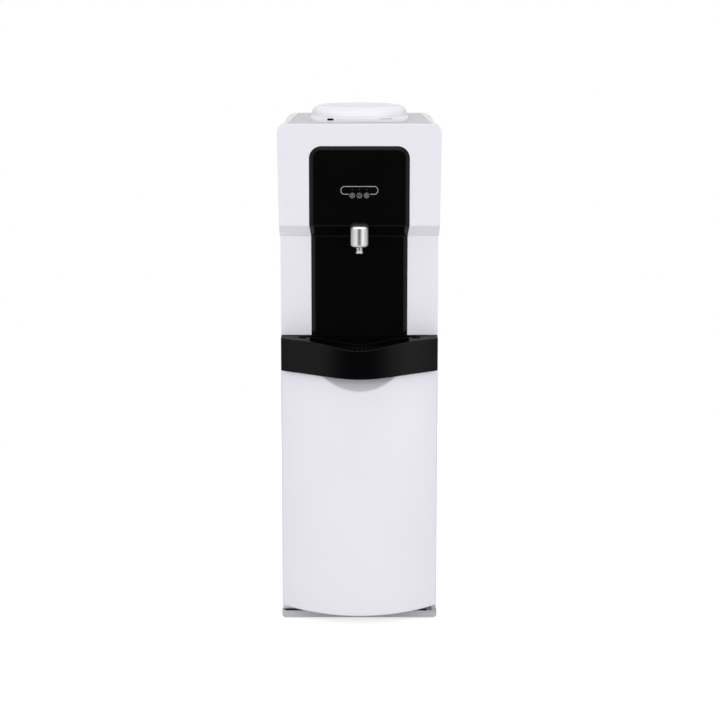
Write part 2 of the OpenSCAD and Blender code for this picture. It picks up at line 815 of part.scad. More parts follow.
// Collar, square foot, funnel and tank lid, turned about the seat's axis
module bottle_seat() {
    r = seat_d / 2;
    t = seat_t;
    arc = [for (a = [0:10:90]) [r - seat_r + seat_r * cos(a), z_top - seat_r + seat_r * sin(a)]];
    inner = [for (a = [90:-15:0])
        [r - seat_r + (seat_r - t) * cos(a), z_top - seat_r + (seat_r - t) * sin(a)]];
    mouth = r - seat_r - 4;
    z_throat = z_head - 21;
    color("white")
    translate([0, y_seat, 0])
    difference() {
        union() {
            rotate_extrude($fn = 96)
                polygon(concat([[r - t, z_head], [r, z_head]], arc,
                    [[mouth, z_top - 3], [throat_r, z_throat], [throat_r, z_rim + 4],
                    [cold_d / 2 + 1, z_rim + 4], [cold_d / 2 + 1, z_rim + 7],
                    [throat_r + t, z_rim + 7],
                    [throat_r + t, z_throat - 1], [mouth + t, z_top - 3 - t]], inner));
            difference() {
                translate([0, 0, z_head]) linear_extrude(height = seat_foot_h)
                    rounded_rect(seat_d, seat_foot_d, 26);
                translate([0, 0, z_head - over])
                    cylinder(r = r - t, h = seat_foot_h + 2 * over, $fn = 96);
            }
        }
        // Release slot in the front of the foot
        block([-64.5, -seat_foot_d / 2 - over, z_head + 1.2],
            [-49, -seat_foot_d / 2 + 5, z_head + 6]);
    }
}

module water_spike() {
    z0 = z_head - 34;
    color("skyblue")
    translate([0, y_seat, 0])
    difference() {
        rotate_extrude()
            polygon([[4, z0], [throat_r - 0.25, z0], [throat_r - 0.25, z0 + 4], [10, z0 + 7],
                [9, z0 + 40], [7.5, z0 + 46], [0, z0 + 49], [0, z0 + 44], [4, z0 + 41]]);
        for (a = [0, 90])
            rotate([0, 0, a]) translate([0, 0, z0 + 34]) rotate([0, 90, 0])
                cylinder(r = 2.5, h = 30, center = true);
        for (a = [45:90:315])
            rotate([0, 0, a]) translate([19, 0, z0 - over]) cylinder(r = 4, h = 8);
    }
}

module seat_gasket() {
    color("lightgray")
    translate([0, y_seat, 0]) ring(cold_d / 2 + 2, cold_d / 2 - 6, z_rim, z_rim + 4);
}

module tank_stub(p, z0, z1) {
    translate([p[0], p[1], z0]) difference() {
        cylinder(r = stub_r + stub_wall, h = z1 - z0);
        translate([0, 0, -over]) cylinder(r = stub_r, h = z1 - z0 + 2 * over);
    }
}

module cold_tank() {
    r = cold_d / 2;
    color("silver")
    translate([0, y_seat, 0]) {
        difference() {
            rotate_extrude($fn = 96)
                polygon([[0, z_cold], [r, z_cold], [r, z_rim - tank_t], [r + 3, z_rim - tank_t],
                    [r + 3, z_rim], [r - tank_t, z_rim], [r - tank_t, z_cold + tank_t],
                    [0, z_cold + tank_t]]);
            for (p = [cold_out, ambient_out, [0, 0]])
                translate([p[0], p[1], z_cold - over]) cylinder(r = stub_r, h = tank_t + 2 * over);
        }
        for (p = [cold_out, ambient_out, [0, 0]]) tank_stub(p, z_shelf - 6, z_cold);
    }
}

module separator_disc() {
    color("aliceblue")
    translate([0, y_seat, 0])
    difference() {
        union() {
            translate([0, 0, z_cold + tank_t]) cylinder(r = stub_r + 2, h = 62);
            translate([0, 0, z_cold + tank_t + 60])
                cylinder(r = cold_d / 2 - tank_t - 0.5, h = 2.5, $fn = 96);
        }
        translate([0, 0, z_cold]) cylinder(r = stub_r, h = 80);
        for (a = [0:45:315])
            rotate([0, 0, a]) translate([45, 0, z_cold + 50]) cylinder(r = 4, h = 30);
    }
}

module evaporator_coil() {
    steps = 20;
    turns = [for (i = [0:coil_turns * steps])
        let (a = 90 + 360 * i / steps)
        [coil_r * cos(a), y_seat + coil_r * sin(a), coil_low + coil_pitch * i / steps]];
    low = [for (z = [z_shelf - 8, z_cold - 10, z_cold, coil_low - 7])
        [coil_in[0], y_seat + coil_in[1], z]];
    first = [5.5, y_seat + coil_r, coil_low - 2.5];
    high = [for (k = [1:4]) let (a = 90 + tail_angle * k / 4, q = coil_r + (tail_r - coil_r) * k / 4)
        [q * cos(a), y_seat + q * sin(a), z_coil_top + 3 * sin(45 * k)]];
    tail = [for (z = [z_coil_top - 6, z_coil_top - 30, z_cold + 20, z_shelf - 8])
        [coil_out[0], y_seat + coil_out[1], z]];
    color("peru") tube(concat(low, [first], turns, high, tail), coil_tube_d / 2, [0.05, 0.08, 0.995]);
}

module tank_foam() {
    color("ivory")
    translate([0, y_seat, 0])
    difference() {
        translate([0, 0, z_shelf + sheet_t])
            cylinder(d = foam_d, h = foam_top - z_shelf - sheet_t, $fn = 96);
        translate([0, 0, z_cold]) cylinder(r = foam_in_r, h = cold_h, $fn = 96);
        for (p = [cold_out, ambient_out, [0, 0]])
            translate([p[0], p[1], z_shelf])
                cylinder(r = stub_r + stub_wall + clear, h = foam_floor + 3);
        // Channels for the two ends of the coil
        translate([0, coil_r, z_shelf]) block([-6, -6, 0], [14, 6, z_rim - z_shelf - 20]);
        rotate([0, 0, tail_angle]) translate([0, coil_r, z_shelf])
            block([-14, -6, 0], [9, 13.5, z_coil_top - z_shelf]);
        translate([0, 0, z_coil_top - 6])
            cylinder(r = tail_r + coil_tube_d / 2 + 0.8, h = 16, $fn = 96);
    }
}

module hot_tank() {
    r = hot_d / 2;
    color("silver")
    translate([0, y_hot, 0]) {
        difference() {
            translate([0, 0, z_hot]) cylinder(r = r, h = hot_h);
            translate([0, 0, z_hot + tank_t]) cylinder(r = r - tank_t, h = hot_h - 2 * tank_t);
            for (p = [hot_out, hot_in])
                translate([p[0], p[1], z_hot_top - tank_t - over])
                    cylinder(r = stub_r, h = tank_t + 2 * over);
            translate([0, 0, z_hot_top - tank_t - over]) cylinder(r = 13.8, h = tank_t + 2 * over);
            translate([0, 0, z_hot + 14]) rod_y(stub_r, r - 2 * tank_t, r + over);
        }
        for (p = [hot_out, hot_in]) tank_stub(p, z_hot_top, z_hot_top + 18);
        difference() {
            translate([0, 0, z_hot + 14]) rod_y(stub_r + stub_wall, r - tank_t, y_gap - 20 - y_hot);
            translate([0, 0, z_hot + 14]) rod_y(stub_r, r - 2 * tank_t, y_gap - y_hot);
        }
    }
}

module hot_tank_jacket() {
    color("goldenrod")
    translate([0, y_hot, 0])
    difference() {
        ring(hot_d / 2 + clear + jacket_t, hot_d / 2 + clear, z_hot, z_hot_top - 4);
        translate([0, 0, z_hot + 14]) rod_y(stub_r + stub_wall + clear, 0, hot_d);
    }
}

module hot_tank_stand() {
    color("gray")
    translate([0, y_hot, 0]) {
        translate([0, 0, z_hot - 2]) cylinder(r = hot_d / 2 + 8, h = 2);
        for (a = [30:120:270])
            rotate([0, 0, a]) translate([hot_d / 2 - 4, 0, z_work]) cylinder(r = 5, h = stand_h - 1);
    }
}

module heating_element() {
    leg = 9;
    z0 = z_hot + 40;
    color("dimgray")
    translate([0, y_hot, 0]) {
        translate([0, 0, z_hot_top]) cylinder(r = 17, h = 5);
        translate([0, 0, z_hot_top + 5]) cylinder(r = 9, h = 9);
        for (s = [-1, 1])
            translate([s * leg, 0, z0]) cylinder(r = 3.8, h = z_hot_top - z0);
        translate([0, 0, z0]) rotate([-90, 0, 0]) rotate_extrude(angle = 180)
            translate([leg, 0]) circle(r = 3.8);
    }
}

module thermostats() {
    color("black")
    for (p = [[32, -16], [-12, 34]])
        translate([p[0], y_hot + p[1], z_hot_top]) {
            cylinder(r = 9, h = 6);
            for (s = [-1, 1]) block([s * 4 - 0.5, -3, 6], [s * 4 + 0.5, 3, 13]);
        }
}

// Three valves side by side, each a body with a coil under it and an inlet behind
module solenoid_valves() {
    for (i = [-1:1])
        translate([i * valve_pitch, 0, valve_z]) {
            color("gainsboro") {
                block([-valve_w / 2, valve_y, 0], [valve_w / 2, valve_y + valve_d, valve_h]);
                translate([0, 0, valve_h / 2])
                    rod_y(stub_r + stub_wall, valve_y + valve_d - 1, valve_y + valve_d + 8);
            }
            color("dimgray") translate([0, valve_y + valve_d / 2, -26]) cylinder(r = 11.5, h = 26);
        }
}

module valve_bracket() {
    color("silver")
    block([-64, valve_y - bracket_t, valve_z - 36], [64, valve_y, valve_z + valve_h]);
}

// Collects the three outlets and feeds the nozzle's neck
module outlet_manifold() {
    z0 = valve_z + valve_h;
    y0 = valve_y + 4;
    y1 = valve_y + valve_d - 4;
    color("whitesmoke")
    difference() {
        union() {
            block([-valve_pitch - 12, y0, z0], [valve_pitch + 12, y1, z0 + manifold_h]);
            block([-12, y0, z0], [12, y1, z_neck + neck_d / 2]);
        }
        translate([0, 0, z_neck]) rod_y(stub_r, y0 - over, (y0 + y1) / 2);
        translate([0, (y0 + y1) / 2, z0 + 3]) cylinder(r = stub_r, h = z_neck - z0 - 3);
    }
}

module nozzle_body() {
    r = nozzle_d / 2;
    q = nozzle_round;
    z1 = z_nozzle + nozzle_h;
    low = [for (a = [270:10:360]) [r - q + q * cos(a), z_nozzle + q + q * sin(a)]];
    high = [for (a = [0:10:90]) [r - q + q * cos(a), z1 - q + q * sin(a)]];
    color("gainsboro")
    difference() {
        union() {
            translate([0, y_nozzle, 0]) rotate_extrude($fn = 96)
                polygon(concat([[0, z_nozzle]], low, high, [[0, z1]]));
            translate([0, 0, z_neck]) rod_y(neck_d / 2, y_nozzle, valve_y + 4);
        }
        translate([0, 0, z_neck]) rod_y(stub_r, y_nozzle, valve_y + 4 + over);
        translate([0, y_nozzle, z_nozzle - over]) cylinder(r = stub_r, h = z_neck - z_nozzle + over);
    }
}

module nozzle_tip() {
    color("darkgray")
    translate([0, y_nozzle, 0])
    rotate_extrude()
        polygon([[stub_r, z_tip], [tip_d / 2 - 0.6, z_tip], [tip_d / 2, z_tip + 0.8],
            [tip_d / 2, z_tip + 4.5], [tip_d / 2 - 1.6, z_tip + 6], [tip_d / 2 - 1.6, z_nozzle],
            [stub_r, z_nozzle]]);
}

// Cold, ambient and hot water to the valves, and the link between the tanks
module water_hoses() {
    y_in = valve_y + valve_d + 8 + clear;
    z_in = valve_z + valve_h / 2;
    zs = z_shelf - 6 - clear;
    zt = z_hot_top + 18 + clear;
    cold = [cold_out[0], y_seat + cold_out[1], zs];
    ambient = [ambient_out[0], y_seat + ambient_out[1], zs];
    hot = [hot_out[0], y_hot + hot_out[1], zt];
    link = [hot_in[0], y_hot + hot_in[1], zt];
    color([0.85, 0.86, 0.88]) {
        tube(smooth([cold, cold - [0, 0, 2], cold - [0, 0, 8], [cold[0], cold[1] - 8, z_in + 2],
            [valve_pitch, y_in + 14, z_in], [valve_pitch, y_in + 2, z_in],
            [valve_pitch, y_in, z_in]]), 5, [1, 0, 0]);
        tube(smooth([ambient, ambient - [0, 0, 2], ambient - [0, 0, 8],
            [0, ambient[1] - 8, z_in + 2], [0, y_in + 8, z_in], [0, y_in + 2, z_in],
            [0, y_in, z_in]]), 5, [1, 0, 0]);
        tube(smooth([hot, hot + [0, 0, 2], hot + [0, 0, 6], hot + [-2, -9, 14],
            [-40, y_hot - 70, z_hot_hose], [-valve_pitch, y_in + 30, z_in + 2],
            [-valve_pitch, y_in + 12, z_in], [-valve_pitch, y_in + 2, z_in],
            [-valve_pitch, y_in, z_in]]), 5, [1, 0, 0]);
        tube(smooth([[0, y_seat, zs], [0, y_seat, zs - 2], [0, y_seat, zs - 6],
            [3, y_seat + 7, zs - 14], [link[0] - 3, link[1] - 7, link[2] + 13],
            link + [0, 0, 5], link + [0, 0, 2], link]), 5, [1, 0, 0]);
    }
}

// Hangs in the gap behind the liner, from the hot tank to the outlet
module drain_hose() {
    z0 = z_hot + 14;
    color([0.85, 0.86, 0.88])
    tube(smooth([[0, y_gap - 20 + clear, z0], [2, y_gap - 12, z0], [20, y_gap - 2, z0 - 2],
        [46, y_gap, z0 - 12], [drain_x - 2, y_gap, z0 - 27], [drain_x, y_gap, z0 - 46],
        [drain_x, y_gap, drain_z + 120], [drain_x, y_gap, drain_z + 60],
        [drain_x, y_gap, drain_z + 16 + clear]]),
        5, [0.3, 0.9, 0.31]);
}

module drain_outlet() {
    color("lightgray")
    translate([drain_x, 0, drain_z])
    difference() {
        union() {
            rod_y(7, y_gap - 6, y_back + sheet_t + 11);
            rod_y(11, y_back + sheet_t, y_back + sheet_t + 3);
            translate([0, y_gap, 0]) cylinder(r = 5, h = 16);
        }
        rod_y(3.5, y_gap, y_back + sheet_t + 12);
        translate([0, y_gap, 0]) cylinder(r = 3, h = 17);
    }
}

module drain_cap() {
    y0 = y_back + sheet_t + 3;
    color("dimgray")
    translate([drain_x, 0, drain_z])
    difference() {
        rod_y(9.5, y0 + clear, y0 + 10);
        rod_y(7 + fit, y0, y0 + 8 + clear);
        for (a = [0:30:330])
            rotate([0, a, 0]) translate([9.9, 0, 0]) rod_y(1, y0, y0 + 11);
    }
}

module compressor() {
    r = pot_d / 2;
    pump_r = 34;
    z0 = z_bay + grommet_h;
    color([0.09, 0.09, 0.1])
    difference() {
        union() {
            translate([0, pot_y, 0]) rotate_extrude($fn = 96)
                polygon(concat([[0, z0], [r - 14, z0]],
                    [for (a = [-60:15:0]) [r - 18 + 18 * cos(a), z0 + 16 + 18 * sin(a)]],
                    [[r, z0 + 62], [r + 1.5, z0 + 63], [r + 1.5, z0 + 67], [r, z0 + 68]],
                    [for (a = [0:10:90]) [r - 30 + 30 * cos(a), z0 + pot_h - 30 + 30 * sin(a)]],
                    [[0, z0 + pot_h]]));
            block([-86, pot_y - 46, z0], [86, pot_y + 46, z0 + 3]);
            for (x = [-34, 34]) translate([x, pot_y, z0 + pot_h - 22]) cylinder(r = 5, h = 30);
        }
        for (p = grommet_places) translate([p[0], p[1], z0 - over]) cylinder(r = 5, h = 5 + over);
        // Space around the pump inside the shell
        translate([0, pot_y, 0]) rotate_extrude($fn = 96)
            polygon([[pump_r, z0 + 7], [r - 19, z0 + 7], [r - 5, z0 + 21], [r - 5, z0 + pot_h - 33],
                [r - 28, z0 + pot_h - 8], [0, z0 + pot_h - 8], [0, z0 + pot_h - 22],
                [pump_r, z0 + pot_h - 22]]);
    }
}

module compressor_grommets() {
    color("black")
    for (p = grommet_places)
        translate([p[0], p[1], 0]) ring(9, 4 + clear, z_bay, z_bay + grommet_h);
}

module relay_box() {
    color("black")
    difference() {
        block([pot_d / 2 - 12, pot_y - 24, z_bay + 44], [pot_d / 2 + 26, pot_y + 24, z_bay + 96]);
        translate([0, pot_y, z_bay]) cylinder(r = pot_d / 2 + 1.9, h = 140, $fn = 96);
    }
}

module condenser_tube() {
    n = condenser_passes;
    r = condenser_rise / 2;
    rows = [for (i = [0:n - 1])
        let (z = condenser_low + (n - 1 - i) * condenser_rise, s = i % 2 == 0 ? 1 : -1)
        each concat([[s * condenser_half, condenser_y, z], [-s * condenser_half, condenser_y, z]],
            i == n - 1 ? [] : [for (a = [30:30:150])
                [-s * (condenser_half + r * sin(a)), condenser_y, z - r + r * cos(a)]])];
    top = condenser_low + (n - 1) * condenser_rise;
    riser = [for (z = [condenser_low - 40, top - 14]) [condenser_half + 16, condenser_y, z]];
    bend = [[condenser_half + 14, condenser_y, top - 5], [condenser_half + 8, condenser_y, top - 0.5]];
    color([0.1, 0.1, 0.1]) tube(concat(riser, bend, rows), condenser_tube_d / 2, [0, 1, 0]);
}

// Wires on both sides of the tube, and four clips that hold them off the rear panel
module condenser_wires() {
    n = condenser_wires_n;
    w = 1.6;
    reach = condenser_half - 8;
    z0 = condenser_low - 10;
    z1 = condenser_low + (condenser_passes - 1) * condenser_rise + 10;
    off = condenser_tube_d / 2 + 0.1;
    color([0.12, 0.12, 0.12]) {
        for (i = [0:n - 1], side = [-1, 1]) {
            x = -reach + 2 * reach * i / (n - 1);
            y = condenser_y + (side > 0 ? off : -off - w);
            block([x - w / 2, y, z0], [x + w / 2, y + w, z1]);
        }
        for (sx = [-1, 1], z = [z0 + 30, z1 - 30])
            block([sx * (reach + 5) - 3, y_back + sheet_t, z - 4],
                [sx * (reach + 5) + 3, condenser_y - off, z + 4]);
    }
}

module filter_dryer() {
    color("peru")
    translate(dryer_pos)
    rotate_extrude()
        polygon([[0, 0], [3, 0], [9, 12], [9, 68], [3, 80], [0, 80]]);
}

// Suction, liquid and discharge lines
module refrigerant_lines() {
    r = coil_tube_d / 2;
    pot_top = z_bay + grommet_h + pot_h + 8 + clear;
    suction_end = [coil_in[0], y_seat + coil_in[1], z_shelf - 8 - clear];
    liquid_end = [coil_out[0], y_seat + coil_out[1], z_shelf - 8 - clear];
    dryer_top = dryer_pos + [0, 0, 80 + clear];
    color("peru") {
        tube(smooth([suction_end, suction_end - [0, 0, 10], [-8, y_seat + coil_r + 14, z_shelf - 26],
            [-48, y_gap - 3, z_shelf - 60], [suction_x, y_gap, z_shelf - 100],
            [suction_x, y_gap, z_deck + 20], [suction_x, y_gap, z_deck - 60],
            [suction_x, y_gap, z_hump + 60], [suction_x, y_gap, z_hump + 14],
            [-50, y_gap - 10, z_hump - 10], [-34, pot_y + 6, pot_top + 12], [-34, pot_y, pot_top + 6],
            [-34, pot_y, pot_top + 2], [-34, pot_y, pot_top]], 3), r, [0.2, 0.97, 0.1]);
        tube(smooth([liquid_end, liquid_end - [0, 0, 10], liquid_end + [-8, 12, -36],
            [liquid_x + 4, y_gap - 6, z_shelf - 80], [liquid_x, y_gap, z_shelf - 110],
            [liquid_x, y_gap, z_deck + 20], [liquid_x, y_gap, z_deck - 60],
            [liquid_x, y_gap, z_hump + 60], [liquid_x, y_gap, z_hump + 4],
            [dryer_top[0] + 7, dryer_pos[1] - 8, dryer_top[2] + 22],
            dryer_top + [0, 0, 7], dryer_top + [0, 0, 2], dryer_top], 3),
            r - 0.6, [0.2, 0.97, 0.1]);
        tube(smooth([[34, pot_y, pot_top], [34, pot_y, pot_top + 2], [34, pot_y, pot_top + 8],
            [42, pot_y + 12, pot_top + 22],
            [80, y_back - 14, z_rear_open - 24], [condenser_half + 12, condenser_y - 2, z_rear_open - 6],
            [condenser_half + 16, condenser_y, z_rear_open + 14],
            [condenser_half + 16, condenser_y, condenser_low - 40]], 3),
            condenser_tube_d / 2, [0.2, 0.97, 0.1]);
    }
}

// Black moulding with a bowed front, a dipped rim and the drip tray's recess
module tray_housing() {
    w = tray_w;
    n = 12;
    step = w / 2 / n;
    rim = [for (i = [-n - 1:n + 1]) [i * step, z_mid - rim_dip * bell(i * step, rim_dip_w)]];
    skirt = [for (i = [-n - 1:n + 1]) [i * step, z_skirt - skirt_dip * bell(i * step, skirt_dip_w)]];
    y_lip = y_face - 6;
    color(black)
    difference() {
        union() {
            intersection() {
                translate([0, 0, z_skirt - skirt_dip - over])
                    linear_extrude(height = tray_h + skirt_dip + over) bow_plan(w, tray_reach, y_face);
                along_y(y_tray - over, y_face + over)
                    polygon(concat(skirt, [[w, z_mid], [-w, z_mid]]));
            }
            block([-w / 2, y_face - over, z_work], [w / 2, y_body, z_mid]);
        }
        // Dip of the rim, ahead of the front panel
        along_y(y_tray - over, y_lip) polygon(concat(rim, [[w, z_mid + over], [-w, z_mid + over]]));
        // Space under the top skin, open below and behind
        difference() {
            intersection() {
                translate([0, 0, z_skirt - skirt_dip - 2 * over])
                    linear_extrude(height = tray_h + skirt_dip)
                        bow_plan(w, tray_reach, y_body - tray_t, tray_t);
                along_y(y_tray, y_body)
                    polygon(concat([for (p = rim) p - [0, tray_t]], [[w, z_skirt - 2 * skirt_dip],
                        [-w, z_skirt - 2 * skirt_dip]]));
            }
            translate([0, 0, z_pan - tray_t]) linear_extrude(height = tray_h)
                recess_plan(tray_t);
        }
        translate([0, 0, z_pan]) linear_extrude(height = tray_h) recess_plan(0);
        for (s = [-1, 1])
            block([s * slot_x - slot_w / 2, y_face - 30, z_mid - 2 * tray_t],
                [s * slot_x + slot_w / 2, y_face - 12, z_mid + over]);
        // Room for the upper hinge bracket
        block([open_half - 5, y_face - over, z_work - over], [half_w, y_body + over, z_work + 3]);
    }
}

// Plan of the drip tray's recess, grown outwards by grow
module recess_plan(grow) {
    w = recess_w + 2 * grow;
    intersection() {
        bow_plan(cabinet_w, tray_reach, y_face - 8 + grow, recess_rim - grow);
        translate([-w / 2, y_tray - over]) square([w, tray_reach + 2 * over]);
    }
}

module drip_tray() {
    color([0.09, 0.09, 0.095])
    translate([0, 0, z_pan])
    difference() {
        linear_extrude(height = pan_h) recess_plan(-2 * clear);
        translate([0, 0, pan_t]) linear_extrude(height = pan_h) recess_plan(-2 * clear - pan_t);
    }
}

module drip_grille() {
    n = floor((recess_w / 2 - 12) / grille_pitch);
    color([0.12, 0.12, 0.125])
    translate([0, 0, z_pan + pan_h])
    difference() {
        linear_extrude(height = grille_t) recess_plan(-2 * clear);
        for (i = [-n:n]) {
            y0 = lip_y(abs(i * grille_pitch) + grille_slot_w, tray_reach) + recess_rim + 7;
            block([i * grille_pitch - grille_slot_w / 2, y0, -over],
                [i * grille_pitch + grille_slot_w / 2, y_face - 14, grille_t + over]);
        }
    }
}

// Front outline of the door: the tray's dip above, an arch below
module door_outline(inset) {
    w = door_w + 20;
    n = 12;
    step = w / 2 / n;
    z_top_edge = z_skirt - door_gap - inset;
    intersection() {
        polygon(concat([[-w / 2, z_door], [w / 2, z_door]],
            [for (i = [n:-1:-n]) [i * step, z_top_edge - skirt_dip * bell(i * step, skirt_dip_w)]]));
        translate([0, z_door + door_arch_r]) circle(r = door_arch_r - inset, $fn = 360);
    }
}

module door_solid(inset, y1) {
    intersection() {
        translate([0, 0, z_door - over]) linear_extrude(height = z_work - z_door + 2 * over)
            bow_plan(door_w, door_reach, y1, inset);
        along_y(y_door - over, y1 + over) door_outline(inset);
    }
}

module scoop_ball(r) {
    rise = sqrt(scoop_r * scoop_r - scoop_fwd * scoop_fwd);
    translate([0, y_door - scoop_fwd, z_work - scoop_drop + rise]) sphere(r = r, $fn = 128);
}

module door_outer() {
    boss_r = 6;
    z_low = z_skirt - door_gap - pin_grip - 3;
    color("white")
    difference() {
        union() {
            difference() {
                door_solid(0, y_face);
                door_solid(door_t, y_face + over);
            }
            intersection() {
                door_solid(0, y_face - 12);
                scoop_ball(scoop_r + door_t);
            }
            // Bosses around the hinge pins
            intersection() {
                door_solid(door_t / 2, y_face);
                translate([hinge_x, hinge_y, 0]) {
                    translate([0, 0, z_low]) cylinder(r = boss_r, h = 40);
                    cylinder(r = boss_r, h = z_pin_low + pin_grip + 5);
                }
            }
        }
        scoop_ball(scoop_r);
        translate([hinge_x, hinge_y, z_low + 2]) cylinder(r = pin_r + fit, h = 40);
        translate([hinge_x, hinge_y, 0]) cylinder(r = pin_r + fit, h = z_pin_low + pin_grip + 1);
        // Pocket for the liner
        door_liner_solid(-clear);
    }
}

module door_liner_solid(inset) {
    block([-door_w / 2 + door_t + 0.1 + inset, y_face - door_liner_t, z_pin_low + door_t + 0.1 + inset],
        [door_w / 2 - door_t - 0.1 - inset, y_face + (inset < 0 ? over : 0),
        z_skirt - door_gap - skirt_dip - door_t - 0.5 - inset]);
}

module door_liner() {
    color("gainsboro") door_liner_solid(0);
}

module door_gasket() {
    z0 = z_liner_floor - gasket_w;
    z1 = z_open_top + gasket_w - 1;
    x1 = open_half + 1 + gasket_w;
    color("gray")
    difference() {
        block([-x1, y_face, z0], [x1, y_frame, z1]);
        block([gasket_w - x1, y_face - over, z0 + gasket_w],
            [x1 - gasket_w, y_frame + over, z1 - gasket_w]);
    }
}

// Steel tongues with pins, one on the deck plate and one on the base plate
module hinge_brackets() {
    x0 = open_half - 2;
    bracket_h = 2;
    y0 = hinge_y - 6;
    color("silver")
    difference() {
        union() {
            for (z = [z_work, z_bay]) {
                block([x0, y0, z], [half_w - tray_t - 0.8, y_frame - 0.5, z + bracket_h]);
                block([x0, y0, z], [half_w - 10.5, y_body + 16, z + bracket_h]);
            }
            translate([hinge_x, hinge_y, 0]) {
                translate([0, 0, z_skirt - door_gap - pin_grip])
                    cylinder(r = pin_r, h = z_work + bracket_h - z_skirt + door_gap + pin_grip);
                translate([0, 0, z_bay]) cylinder(r = pin_r, h = z_pin_low + pin_grip - z_bay);
                translate([0, 0, z_bay])
                    cylinder(r = collar_r, h = z_pin_low - collar_fall - clear - z_bay);
            }
        }
        for (z = [z_work, z_bay])
            translate([x0 + 4, y_body + 10, z - over]) cylinder(r = 2, h = 4);
    }
}

module magnet_catch() {
    color("white")
    block([-open_half, y_body + 1, z_bay + 280], [12 - open_half, y_body + 21, z_bay + 325]);
}

module strike_plate() {
    color("silver")
    block([2 - open_half, y_face, z_bay + 284], [10 - open_half, y_body + 1 - 0.2, z_bay + 321]);
}

module switch_housings() {
    y1 = y_back + sheet_t;
    color("black")
    for (x = switch_x)
        translate([x, 0, switch_z]) difference() {
            union() {
                block([-7, y_back - 16, -10], [7, y1, 10]);
                block([-9, y1, -12], [9, y1 + 2, 12]);
            }
            block([-5.2, y1 - 7, -8.6], [5.2, y1 + 3, 8.6]);
            translate([0, y1 - 3, 0]) along_x(-6.4, 6.4) circle(r = 1 + fit);
        }
}

// A rocker, tilted to one side about its pivot
module rocker(x, tint) {
    y1 = y_back + sheet_t;
    color(tint)
    translate([x, y1 - 3, switch_z]) rotate([switch_tilt, 0, 0]) {
        along_x(-5, 5)
            polygon([[-2.2, -6.6], [4.4, -7.4], [6, -7.4], [4.6, 0], [6, 7.4], [4.4, 7.4],
                [-2.2, 6.6]]);
        along_x(-6.2, 6.2) circle(r = 1);
    }
}

module rocker_cold() {
    rocker(switch_x[0], "green");
}

module rocker_hot() {
    rocker(switch_x[1], "red");
}

module cord_gland() {
    color("black")
    translate([gland_x, 0, drain_z])
    difference() {
        union() {
            rod_y(11, y_back + sheet_t, y_back + sheet_t + 3);
            rod_y(7.9, y_back - 8, y_back + sheet_t);
        }
        rod_y(4, y_back - 9, y_back + sheet_t + 4);
    }
}

base_plinth();
feet();
base_plate();
side_panel_left();
side_panel_right();
cabinet_liner();
deck_plate();
tank_shelf();
rear_panel();
rear_screws();
head_casing();
mid_casing();
front_panel();
top_cover();
bottle_seat();
water_spike();
seat_gasket();
cold_tank();
separator_disc();
evaporator_coil();
tank_foam();
hot_tank();
hot_tank_jacket();
hot_tank_stand();
heating_element();
thermostats();
solenoid_valves();
valve_bracket();
outlet_manifold();
nozzle_body();
nozzle_tip();
water_hoses();
drain_hose();
drain_outlet();
drain_cap();
compressor();
compressor_grommets();
relay_box();
condenser_tube();
condenser_wires();
filter_dryer();
refrigerant_lines();
control_board();
button_cold();
button_ambient();
button_hot();
button_outline();
tray_housing();
drip_tray();
drip_grille();
door_outer();
door_liner();
door_gasket();
hinge_brackets();
magnet_catch();
strike_plate();
switch_housings();
rocker_cold();
rocker_hot();
cord_gland();
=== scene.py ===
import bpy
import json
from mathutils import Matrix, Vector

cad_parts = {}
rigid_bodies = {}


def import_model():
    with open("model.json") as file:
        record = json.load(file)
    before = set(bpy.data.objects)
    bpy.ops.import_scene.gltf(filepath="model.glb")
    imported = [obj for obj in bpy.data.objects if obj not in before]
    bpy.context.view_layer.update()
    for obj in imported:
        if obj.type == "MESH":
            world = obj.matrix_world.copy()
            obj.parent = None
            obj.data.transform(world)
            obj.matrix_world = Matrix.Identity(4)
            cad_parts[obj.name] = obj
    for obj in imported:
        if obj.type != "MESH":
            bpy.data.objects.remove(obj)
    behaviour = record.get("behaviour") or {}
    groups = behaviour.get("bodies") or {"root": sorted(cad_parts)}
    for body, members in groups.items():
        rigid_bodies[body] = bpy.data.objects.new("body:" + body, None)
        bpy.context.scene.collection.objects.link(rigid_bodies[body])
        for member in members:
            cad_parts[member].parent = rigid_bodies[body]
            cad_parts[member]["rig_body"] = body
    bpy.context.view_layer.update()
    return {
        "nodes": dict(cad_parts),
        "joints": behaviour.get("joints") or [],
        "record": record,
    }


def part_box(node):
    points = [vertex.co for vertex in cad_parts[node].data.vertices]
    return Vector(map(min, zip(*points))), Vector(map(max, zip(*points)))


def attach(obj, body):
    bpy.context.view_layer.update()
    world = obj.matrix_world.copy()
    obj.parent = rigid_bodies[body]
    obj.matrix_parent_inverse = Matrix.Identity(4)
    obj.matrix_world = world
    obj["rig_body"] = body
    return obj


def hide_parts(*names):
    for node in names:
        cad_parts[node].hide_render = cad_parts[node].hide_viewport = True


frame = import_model()

import json
from math import atan2, cos, degrees, exp, floor, pi, radians, sin, sqrt

import bmesh
import bpy
from mathutils import Matrix, Vector, noise as hills

scene = bpy.context.scene
cad = frame["nodes"]
mm = 0.001


# Studio. The machine stands on a white sheet between a tall soft window on each side, with a weak
# soft box overhead. A long lens a little above the collar looks slightly down at it.
lens_mm = 102.5
look_down = 10.79
camera_place = (0.0012, -4.104, 1.2945)


def placed(name, data):
    """A new object in the scene."""
    made = bpy.data.objects.new(name, data)
    scene.collection.objects.link(made)
    return made


camera_data = bpy.data.cameras.new("camera")
camera_data.lens = lens_mm
camera_data.sensor_width = 36
camera_data.clip_end = 200
camera = placed("camera", camera_data)
camera.location = camera_place
camera.rotation_euler = (radians(90 - look_down), 0, 0)
scene.camera = camera
scene.view_settings.view_transform = "Standard"


